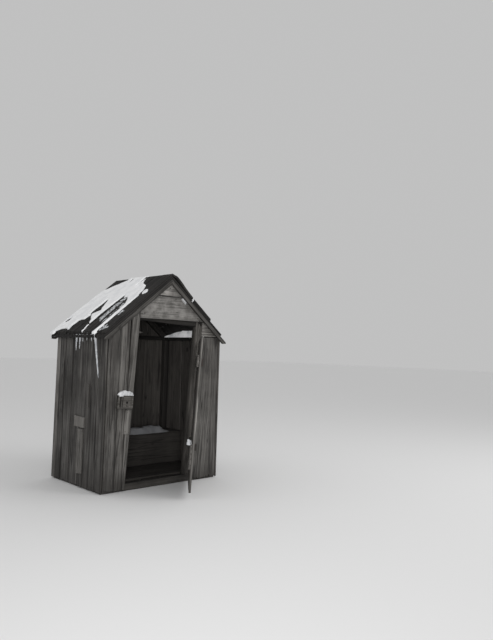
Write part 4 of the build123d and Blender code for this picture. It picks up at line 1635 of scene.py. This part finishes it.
class GrownTree:
    """A geometry tree that turns marked points into many small solids."""

    def __init__(self, name: str, inputs: dict[str, str]) -> None:
        """Starts the tree with its interface.

        Args:
            name: The tree's name.
            inputs: Socket type of each input by name.
        """
        self.group = bpy.data.node_groups.new(name, "GeometryNodeTree")
        self.group.interface.new_socket(name="Points", in_out="INPUT", socket_type="NodeSocketGeometry")
        for label, kind in inputs.items():
            self.group.interface.new_socket(name=label, in_out="INPUT", socket_type=kind)
        self.group.interface.new_socket(name="Solids", in_out="OUTPUT", socket_type="NodeSocketGeometry")
        self.tree = Tree(self.group)
        given = self.tree.node("NodeGroupInput")
        self.given = {socket.name: socket for socket in given.outputs if socket.name}
        self.result = self.tree.node("NodeGroupOutput")

    def named(self, name: str) -> bpy.types.NodeSocket:
        """The socket of a vector attribute of the points."""
        made = self.tree.node("GeometryNodeInputNamedAttribute", {"Name": name}, data_type="FLOAT_VECTOR")
        return next(socket for socket in made.outputs if socket.enabled and socket.name == "Attribute")

    def cone(self, vertices: int, segments: int, tip: float, depth: float) -> bpy.types.NodeSocket:
        """Mesh of a cone with a base of radius 1 and a cut tip."""
        inputs = {"Vertices": vertices, "Side Segments": segments, "Radius Top": tip, "Radius Bottom": 1.0}
        return self.tree.node("GeometryNodeMeshCone", inputs | {"Depth": depth}).outputs["Mesh"]

    def finish(self, solid: object, size: object, offset: object = None) -> None:
        """Sets a solid on every point, turned to the marked direction, and ends the tree.

        Args:
            solid: The solid's mesh.
            size: Its size at each point.
            offset: How far each point of the placed solids moves, if they do.
        """
        facing = {"Vector": self.named("facing")}
        turned = self.tree.node("FunctionNodeAlignRotationToVector", facing, axis="Z")
        stand = {"Points": self.given["Points"], "Instance": solid, "Rotation": turned.outputs["Rotation"]}
        placed = self.tree.node("GeometryNodeInstanceOnPoints", stand | {"Scale": size})
        solids = self.tree.node("GeometryNodeRealizeInstances", {0: placed.outputs["Instances"]}).outputs[0]
        if offset is not None:
            moved = {"Geometry": solids, "Offset": offset}
            solids = self.tree.node("GeometryNodeSetPosition", moved).outputs[0]
        dressed = {"Geometry": solids, "Material": self.given["Finish"]}
        self.tree.feed(self.result.inputs[0], self.tree.node("GeometryNodeSetMaterial", dressed).outputs[0])

    def grow(
        self, name: str, points: Sequence[Vector], facts: dict[str, Sequence[Point3]], inputs: Inputs
    ) -> bpy.types.Object:
        """Grows the solids at some points and keeps them as a plain mesh.

        Args:
            name: The piece's name.
            points: Where the solids stand.
            facts: Vector attributes of the points by name.
            inputs: Values of the tree's inputs by name.

        Returns:
            The new object, without a modifier.
        """
        seeds = bpy.data.meshes.new(name + "_points")
        seeds.from_pydata([tuple(point) for point in points], [], [])
        for label, values in facts.items():
            write_attribute(seeds, label, values)
        holder = link_object(name + "_points", seeds)
        modifier = holder.modifiers.new("grow", "NODES")
        modifier.node_group = self.group
        for item in self.group.interface.items_tree:
            if item.name in inputs:
                modifier[item.identifier] = inputs[item.name]
        bpy.context.view_layer.update()
        seen = holder.evaluated_get(bpy.context.evaluated_depsgraph_get())
        mesh = bpy.data.meshes.new_from_object(seen)
        mesh.name = name
        bpy.data.objects.remove(holder)
        bpy.data.meshes.remove(seeds)
        return link_object(name, mesh)


def nail_tree() -> GrownTree:
    """Nail heads that face along the marked direction, each a little different.

    Returns:
        The tree.
    """
    grown = GrownTree(
        "Nail heads", {"Head radius": FLOAT, "Seed": "NodeSocketInt", "Finish": "NodeSocketMaterial"}
    )
    sizes = {2: 0.8, 3: 1.2, "Seed": grown.given["Seed"]}
    size = grown.tree.node("FunctionNodeRandomValue", sizes, data_type="FLOAT").outputs[1]
    grown.finish(grown.cone(9, 2, 0.45, 0.42), grown.tree.times(size, grown.given["Head radius"]))
    return grown


def icicle_tree() -> GrownTree:
    """Icicles that hang from the marked points, uneven along their length.

    Returns:
        The tree.
    """
    grown = GrownTree("Icicles", {"Unevenness": FLOAT, "Finish": "NodeSocketMaterial"})
    tree = grown.tree
    parts = tree.parts(tree.node("GeometryNodeInputPosition").outputs[0])
    slim = tree.math("POWER", tree.minus(1.02, parts[2]), 0.45)
    slim = tree.minus(tree.math("DIVIDE", slim, tree.minus(1.12, parts[2])), 1.0)
    inward = tree.node("ShaderNodeCombineXYZ", {0: tree.times(parts[0], slim), 1: tree.times(parts[1], slim)})
    waisted = {"Geometry": grown.cone(12, 30, 0.12, 1.0), "Offset": inward.outputs[0]}
    icicle = tree.node("GeometryNodeSetPosition", waisted).outputs[0]
    waves = tree.node("ShaderNodeTexNoise", {"Scale": 42.0}).outputs["Color"]
    centred = tree.node("ShaderNodeVectorMath", {0: waves, 1: (0.5, 0.5, 0.5)}, operation="SUBTRACT")
    uneven = {0: centred.outputs[0], "Scale": grown.given["Unevenness"]}
    sized = tree.node("ShaderNodeVectorMath", uneven, operation="SCALE")
    grown.finish(icicle, grown.named("size"), sized.outputs[0])
    return grown


@dataclass(frozen=True)
class Icicle:
    """One icicle: its distance back from the front corner, its length, its width and its slant."""

    back: float
    length: float
    radius: float
    slant: float = 0.0


EAVE_THICKNESS = 0.030
EAVE_INSET = 0.006
ICICLE_ROOT = 0.012
ICICLES = (
    Icicle(0.545, 0.160, 0.011),
    Icicle(0.530, 0.070, 0.008),
    Icicle(0.470, 0.145, 0.009),
    Icicle(0.450, 0.060, 0.006),
    Icicle(0.405, 0.070, 0.006),
    Icicle(0.320, 0.055, 0.006),
    Icicle(0.235, 0.030, 0.006),
    Icicle(0.225, 0.060, 0.008),
    Icicle(0.155, 0.440, 0.013, -0.235),
    Icicle(0.170, 0.050, 0.007),
    Icicle(0.610, 0.020, 0.006),
)


# Nails


NAIL_HEAD = 0.0048
GABLE_NAIL_HEAD = 0.0078
BOLT_HEAD = 0.0085
NAIL_SEARCH = 0.03
NAIL_SUNK = 0.0004
NAIL_FACING = 0.8
NARROW_BOARD = 0.032


@dataclass(frozen=True)
class NailRows:
    """Nails at marks along every board of some CAD nodes of the hut.

    Marks are distances along a board, from its foot, or from its head where they are negative. Inset is
    the distance from its side edges. Side is 1 for the outer face and -1 for the inner one.
    """

    nodes: tuple[str, ...]
    marks: tuple[float, ...]
    inset: float = 0.022
    side: float = 1.0


HUT_NAILS = (
    NailRows(("left_wall_boards", "right_wall_boards", "back_wall_boards"), (0.045, -0.035)),
    NailRows(("front_boards_left",), (0.045, -0.11)),
    NailRows(("front_boards_right",), (0.045, -0.085)),
    NailRows(("left_wall_patches",), (0.03, -0.03), inset=0.02),
    NailRows(("jamb_patch",), (0.03, -0.03), inset=0.018),
    NailRows(("rakes_front", "rakes_back"), (0.08, 0.30, 0.55, 0.80, -0.06), inset=0.03),
    NailRows(("roof_covers_left", "roof_covers_right"), (0.13, -0.05), inset=0.03),
    NailRows(("floor_boards", "seat_boards", "seat_riser"), (0.03, 0.735, -0.03), inset=0.03, side=-1.0),
)


@dataclass
class NailPlan:
    """Places of the nail heads on one body, found on the worn boards' own faces."""

    body: str
    places: list[Vector] = field(default_factory=list)
    facings: list[Vector] = field(default_factory=list)
    _trees: dict[str, BVHTree] = field(default_factory=dict)

    def strike(self, piece: bpy.types.Object, aim: Vector, out: Vector) -> None:
        """Adds a nail where a line from outside meets a piece.

        Args:
            piece: The piece.
            aim: A point near its face.
            out: Direction out of the face.
        """
        if piece.name not in self._trees:
            points = [vertex.co for vertex in piece.data.vertices]
            faces = [tuple(face.vertices) for face in piece.data.polygons]
            self._trees[piece.name] = BVHTree.FromPolygons(points, faces)
        start = aim + out * NAIL_SEARCH
        place, normal, _, _ = self._trees[piece.name].ray_cast(start, -out, 2 * NAIL_SEARCH)
        if place is None or normal.dot(out) < NAIL_FACING:
            return
        self.places.append(place - out * NAIL_SUNK)
        self.facings.append(normal)

    def pairs(self, piece: bpy.types.Object, boards: Sequence[Board], rows: NailRows) -> None:
        """Adds two nails, or one on a narrow board, at each mark along each board.

        Args:
            piece: The piece that holds the boards.
            boards: The boards.
            rows: Where the nails go.
        """
        for index, board in enumerate(boards):
            chance = random.Random(f"{piece.name} nails {index} {rows.side}")
            for mark in rows.marks:
                along = mark - board.half[0] if mark >= 0 else mark + board.half[0]
                offsets = (-1.0, 1.0) if board.half[1] > NARROW_BOARD else (0.0,)
                for offset in offsets:
                    across = offset * (board.half[1] - rows.inset) + chance.uniform(-0.006, 0.006)
                    nudge = along + chance.uniform(-0.008, 0.008)
                    self.strike(piece, board.face_point(nudge, across, rows.side), board.out * rows.side)

    def build(self, name: str, grown: GrownTree, radius: float, seed: int) -> None:
        """Grows the nail heads and mounts them.

        Args:
            name: The piece's name.
            grown: The tree of nail heads.
            radius: Radius of a head.
            seed: Seed of their sizes.
        """
        finish = IRON.material()
        facts = {"facing": [tuple(facing) for facing in self.facings]}
        piece = grown.grow(name, self.places, facts, {"Head radius": radius, "Seed": seed, "Finish": finish})
        mount_piece(piece, finish, self.body)


RIGHT_BOARD_NAILS = ((0.565, 1.480), (0.718, 1.480))
STRAP_BOLTS = (0.145, 0.235, 0.345)
STRAP_FACE = 0.040
LEDGE_NAIL_RISE = 0.035
LEDGE_NAIL_SIDE = 0.045
GABLE_NAILS = (
    (-0.310, 1.845), (-0.195, 1.865), (0.355, 1.900), (0.410, 1.825), (0.440, 1.800), (0.010, 2.140),
    (0.095, 2.025),
)


@dataclass
class Fastenings:
    """Every nail of the hut and of the door, and the bolts of the straps."""

    woodwork: Woodwork
    hut: NailPlan = field(default_factory=lambda: NailPlan(HUT))
    door: NailPlan = field(default_factory=lambda: NailPlan(DOOR))
    gable: NailPlan = field(default_factory=lambda: NailPlan(HUT))
    straps: NailPlan = field(default_factory=lambda: NailPlan(DOOR))

    def build(self) -> None:
        """Strikes the nails of each set of boards and grows their heads."""
        for rows in HUT_NAILS:
            for node in rows.nodes:
                self.hut.pairs(self.woodwork.pieces[node], self.woodwork.boards[node], rows)
        self._gable()
        self._door()
        self._straps()
        grown = nail_tree()
        self.hut.build("hut_nails", grown, NAIL_HEAD, 5)
        self.gable.build("gable_nails", grown, GABLE_NAIL_HEAD, 7)
        self.door.build("door_nails", grown, NAIL_HEAD, 6)
        self.straps.build("strap_bolts", grown, BOLT_HEAD, 8)

    def _gable(self) -> None:
        """Large nails of the gable's level boards and of the boards right of the doorway."""
        face = self.woodwork.boards["gable_board_main"][0].face_point(0.0, 0.0).y
        wall = self.woodwork.boards["front_boards_right"][0].face_point(0.0, 0.0).y
        for nodes, level, places in (
            (("gable_board_main", "gable_board_top"), face, GABLE_NAILS),
            (("front_boards_right",), wall, RIGHT_BOARD_NAILS),
        ):
            for x, z in places:
                aim = Vector((x, level, z))
                for node in nodes:
                    self.gable.strike(self.woodwork.pieces[node], aim, FORWARD)

    def _door(self) -> None:
        """Nails through the door boards into the ledges, on the side away from them."""
        piece = self.woodwork.pieces["door_boards"]
        for ledge_node in ("door_ledge_lower", "door_ledge_upper"):
            ledge = self.woodwork.boards[ledge_node][0]
            for board in self.woodwork.boards["door_boards"]:
                apart = ledge.middle - board.middle
                side = -1.0 if apart.dot(board.out) > 0 else 1.0
                level = apart.dot(board.along)
                for rise in (-LEDGE_NAIL_RISE, LEDGE_NAIL_RISE):
                    for across in (-LEDGE_NAIL_SIDE, LEDGE_NAIL_SIDE):
                        aim = board.face_point(level + rise, across, side)
                        self.door.strike(piece, aim, board.out * side)

    def _straps(self) -> None:
        """Bolts through each strap, the door boards and the ledge behind them."""
        straps = self.woodwork.nodes["hinge_straps"]
        board = self.woodwork.boards["door_boards"][0]
        for ledge_node in ("door_ledge_lower", "door_ledge_upper"):
            ledge = self.woodwork.boards[ledge_node][0]
            out = board.out if (board.middle - ledge.middle).dot(board.out) > 0 else -board.out
            for along in STRAP_BOLTS:
                self.straps.strike(straps, ledge.middle + ledge.along * along + out * STRAP_FACE, out)


# Ironwork


@dataclass
class Ironwork:
    """Straps and leaves of the two hinges, with rounded arrises."""

    nodes: dict[str, bpy.types.Object]
    arris: float = 0.0006
    sharp_turn: float = 0.9
    crease: float = 35.0

    def build(self) -> None:
        """Dresses both nodes."""
        self._dress("hinge_leaves", HUT)
        self._dress("hinge_straps", DOOR)

    def _dress(self, node: str, body: str) -> None:
        """Dresses one node.

        Args:
            node: The CAD node.
            body: The body that it belongs to.
        """
        whole = bmesh.new()
        for mesh in island_meshes(self.nodes[node]):
            round_arrises(mesh, self.sharp_turn, self.arris, 1)
            copy = bpy.data.meshes.new("part")
            mesh.to_mesh(copy)
            whole.from_mesh(copy)
            bpy.data.meshes.remove(copy)
            mesh.free()
        made = bpy.data.meshes.new(node + "_forged")
        whole.to_mesh(made)
        whole.free()
        piece = link_object(made.name, made)
        soften(piece, self.crease)
        mount_piece(piece, IRON.material(), body, (node,))


# Winter


@dataclass
class Winter:
    """Snow, frost and ice on the building."""

    woodwork: Woodwork

    def build(self) -> None:
        """Lays the roof snow, the small drifts and the icicles."""
        left = Slope.of(self.woodwork.boards["roof_covers_left"])
        right = Slope.of(self.woodwork.boards["roof_covers_right"])
        for side, slope, cover in (("left", left, LEFT_COVER), ("right", right, RIGHT_COVER)):
            for layer in ("roof_covers_", "roof_boards_"):
                frost_the_boards(self.woodwork.pieces[layer + side], slope, cover)
        mount_piece(RoofSnow(left, right).build(), SNOW.material(), HUT)
        self._icicles(left)
        for drift in self._drifts(right):
            drift.build()

    def _icicles(self, slope: Slope) -> None:
        """Hangs the icicles from the left eave.

        Args:
            slope: The left slope.
        """
        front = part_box("left_wall_boards")[0][1]
        edge = slope.corner + slope.down * slope.length - slope.out * EAVE_THICKNESS
        root = Vector((edge.x + EAVE_INSET, front, edge.z + ICICLE_ROOT))
        places = [Vector((root.x, front + icicle.back, root.z)) for icicle in ICICLES]
        facings = [(0.0, icicle.slant, -1.0) for icicle in ICICLES]
        sizes = [(icicle.radius, icicle.radius, icicle.length + ICICLE_ROOT) for icicle in ICICLES]
        finish = ICE.material()
        inputs = {"Unevenness": 0.006, "Finish": finish}
        piece = icicle_tree().grow("icicles", places, {"facing": facings, "size": sizes}, inputs)
        for face in piece.data.polygons:
            face.use_smooth = True
        mount_piece(piece, finish, HUT)

    def _drifts(self, right: Slope) -> list[Drift]:
        """The small banks of snow, placed on what carries them.

        Args:
            right: The right slope.

        Returns:
            The drifts.
        """
        keeper_low, keeper_high = (Vector(corner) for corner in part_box("latch_keeper"))
        keeper_top = keeper_high.z - 0.006
        keeper_middle = (keeper_low.y + keeper_high.y) / 2
        seat_low, seat_high = (Vector(corner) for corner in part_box("seat_boards"))
        bench = seat_high.z
        bench_front = seat_low.y + 0.045
        plate_low, plate_high = (Vector(corner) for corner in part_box("plate_right"))
        gable_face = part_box("gable_board_main")[0][1]
        verge = right.corner + Vector((0.0, 0.022, 0.0)) - right.out * 0.024
        ledge = self.woodwork.boards["door_ledge_lower"][0]
        tip = ledge.face_point(-ledge.half[0] if ledge.along.y > 0 else ledge.half[0], 0.0, 0.0)
        inward = ledge.along if ledge.along.y > 0 else -ledge.along
        ledge_top = tip + Vector((0.0, 0.0, ledge.half[1])) - ledge.out * 0.012
        return [
            Drift(
                "keeper_snow",
                Vector((keeper_low.x + 0.004, keeper_middle, keeper_top)),
                Vector((keeper_high.x + 0.004, keeper_middle, keeper_top - 0.010)),
                0.028,
                ((0.0, 0.024), (0.2, 0.042), (0.45, 0.044), (0.75, 0.046), (1.0, 0.024)),
                roughness=0.16,
            ),
            Drift(
                "keeper_snow_lump",
                Vector((keeper_low.x + 0.012, keeper_low.y + 0.004, keeper_top - 0.012)),
                Vector((keeper_low.x + 0.060, keeper_low.y + 0.004, keeper_top - 0.014)),
                0.012,
                ((0.0, 0.012), (0.5, 0.020), (1.0, 0.014)),
                roughness=0.2,
                rings=20,
            ),
            Drift(
                "bench_snow",
                Vector((-0.04, bench_front, bench)),
                Vector((0.56, bench_front, bench)),
                0.055,
                (
                    (0.0, 0.070), (0.08, 0.082), (0.35, 0.064), (0.42, 0.090), (0.75, 0.076), (0.84, 0.034),
                    (1.0, 0.010),
                ),
                slot="inner_boards",
                finish=SHADED_SNOW,
            ),
            Drift(
                "plate_snow",
                Vector((plate_low.x + 0.020, plate_high.y - 0.03, plate_high.z - 0.004)),
                Vector((plate_low.x + 0.020, plate_low.y + 0.20, plate_high.z - 0.004)),
                0.050,
                ((0.0, 0.010), (0.30, 0.060), (0.50, 0.090), (0.70, 0.108), (0.85, 0.106), (1.0, 0.100)),
                slot="frame_timber",
                finish=BACKLIT_SNOW,
            ),
            Drift(
                "gable_snow",
                Vector((0.176, gable_face - 0.006, 2.042)),
                Vector((0.236, gable_face - 0.006, 1.990)),
                0.018,
                ((0.0, 0.010), (0.3, 0.018), (0.7, 0.020), (1.0, 0.010)),
                up=Vector((0.75, 0.0, 0.66)),
                sunk=0.018,
                rings=20,
                slot="gable_boards",
            ),
            Drift(
                "verge_snow",
                verge + right.down * 0.386,
                verge + right.down * 0.416,
                0.024,
                ((0.0, 0.014), (0.5, 0.022), (1.0, 0.014)),
                up=right.out,
                sunk=0.020,
                rings=16,
                roughness=0.2,
            ),
            Drift(
                "door_ledge_snow",
                ledge_top + inward * 0.006,
                ledge_top + inward * 0.118,
                0.020,
                ((0.0, 0.020), (0.2, 0.046), (0.35, 0.036), (0.55, 0.050), (1.0, 0.016)),
                rings=28,
                roughness=0.42,
                body=DOOR,
                slot="wall_boards",
            ),
        ]


# Studio and camera


@dataclass(frozen=True)
class Studio:
    """Plain pale floor, a pale surround and soft light."""

    floor_reach: float = 60.0
    floor_finish: PlainFinish = PlainFinish("studio_floor")
    surround: Colour = (0.53, 0.53, 0.53)
    sky_strength: float = 0.74
    key_power: float = 190.0
    key_place: Vector = field(default_factory=lambda: Vector((4.5, -6.0, 5.5)))
    key_size: float = 5.0
    fill_power: float = 70.0
    fill_place: Vector = field(default_factory=lambda: Vector((-4.4, -6.6, 1.75)))
    fill_size: float = 2.4
    fill_spread: float = math.radians(100.0)

    def build(self) -> None:
        """Makes the floor, the world and the lamps."""
        mesh = bpy.data.meshes.new("floor")
        reach = self.floor_reach
        corners = [(-reach, -reach, 0), (reach, -reach, 0), (reach, reach, 0), (-reach, reach, 0)]
        mesh.from_pydata(corners, [], [(0, 1, 2, 3)])
        floor = link_object("floor", mesh)
        mesh.materials.append(self.floor_finish.material())
        self._world()
        self._lamp("key", self.key_place, self.key_power, self.key_size)
        self._lamp("fill", self.fill_place, self.fill_power, self.fill_size, self.fill_spread)

    def _world(self) -> None:
        """Lights the scene evenly and shows a pale surround to the camera."""
        world = bpy.data.worlds.new("studio_world")
        bpy.context.scene.world = world
        world.use_nodes = True
        world.node_tree.nodes.clear()
        tree = Tree(world.node_tree)
        sky = {"Color": (1.0, 1.0, 1.0, 1.0), "Strength": self.sky_strength}
        light = tree.node("ShaderNodeBackground", sky)
        shown = tree.node("ShaderNodeBackground", {"Color": (*self.surround, 1.0)})
        path = tree.node("ShaderNodeLightPath").outputs
        seen = tree.math("MAXIMUM", path["Is Camera Ray"], path["Is Glossy Ray"])
        seen = tree.math("MAXIMUM", seen, path["Is Transmission Ray"])
        mixed = tree.node("ShaderNodeMixShader", {0: seen, 1: light.outputs[0], 2: shown.outputs[0]})
        tree.node("ShaderNodeOutputWorld", {"Surface": mixed.outputs[0]})

    def _lamp(self, name: str, place: Vector, power: float, size: float, spread: float = math.pi) -> None:
        """Adds a soft square lamp that points at the building.

        Args:
            name: The lamp's name.
            place: Where it hangs.
            power: Its power in watts.
            size: Length of its side.
            spread: Angle of its beam.
        """
        lamp = bpy.data.lights.new(name, "AREA")
        lamp.energy = power
        lamp.size = size
        lamp.spread = spread
        holder = link_object(name, lamp)
        holder.location = place
        holder.visible_camera = False
        holder.rotation_mode = "QUATERNION"
        holder.rotation_quaternion = (MIDDLE_OF_ROOM - place).to_track_quat("-Z", "Y")


@dataclass(frozen=True)
class PhotoCamera:
    """The camera where the photograph was taken, found from the building's corners."""

    place: Point3 = (-3.904, -5.917, 1.4705)
    yaw: float = 0.754
    pitch: float = 0.071
    roll: float = 0.028
    focal_pixels: float = 600.0
    image_size: tuple[int, int] = (493, 640)
    image_middle: Point2 = (245.0, 308.5)
    sensor: float = 36.0

    def build(self) -> None:
        """Makes the camera and sets it as the scene's camera."""
        width, height = self.image_size
        lens = bpy.data.cameras.new("photo_camera")
        lens.sensor_width = self.sensor
        lens.lens = self.focal_pixels * self.sensor / height
        lens.shift_x = (width / 2 - self.image_middle[0]) / height
        lens.shift_y = (self.image_middle[1] - height / 2) / height
        lens.clip_start, lens.clip_end = 0.1, 200.0
        level = math.cos(self.pitch)
        forward = Vector((math.sin(self.yaw) * level, math.cos(self.yaw) * level, math.sin(self.pitch)))
        right = Vector((math.cos(self.yaw), -math.sin(self.yaw), 0.0))
        up = right.cross(forward)
        turned_right = right * math.cos(self.roll) + up * math.sin(self.roll)
        turned_up = turned_right.cross(forward)
        axes = Matrix((turned_right, turned_up, -forward)).transposed()
        camera = link_object("photo_camera", lens)
        camera.matrix_world = Matrix.Translation(self.place) @ axes.to_4x4()
        bpy.context.scene.camera = camera


def main() -> None:
    """Builds the looks in order. Each dressed piece logs its number of faces."""
    logging.basicConfig(level=logging.INFO, format="%(message)s")
    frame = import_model()
    bpy.context.scene.view_settings.view_transform = "Standard"
    PhotoCamera().build()
    Studio().build()
    woodwork = Woodwork(frame["nodes"])
    woodwork.build()
    Ironwork(frame["nodes"]).build()
    Fastenings(woodwork).build()
    Winter(woodwork).build()


if __name__ == "__main__":
    main()
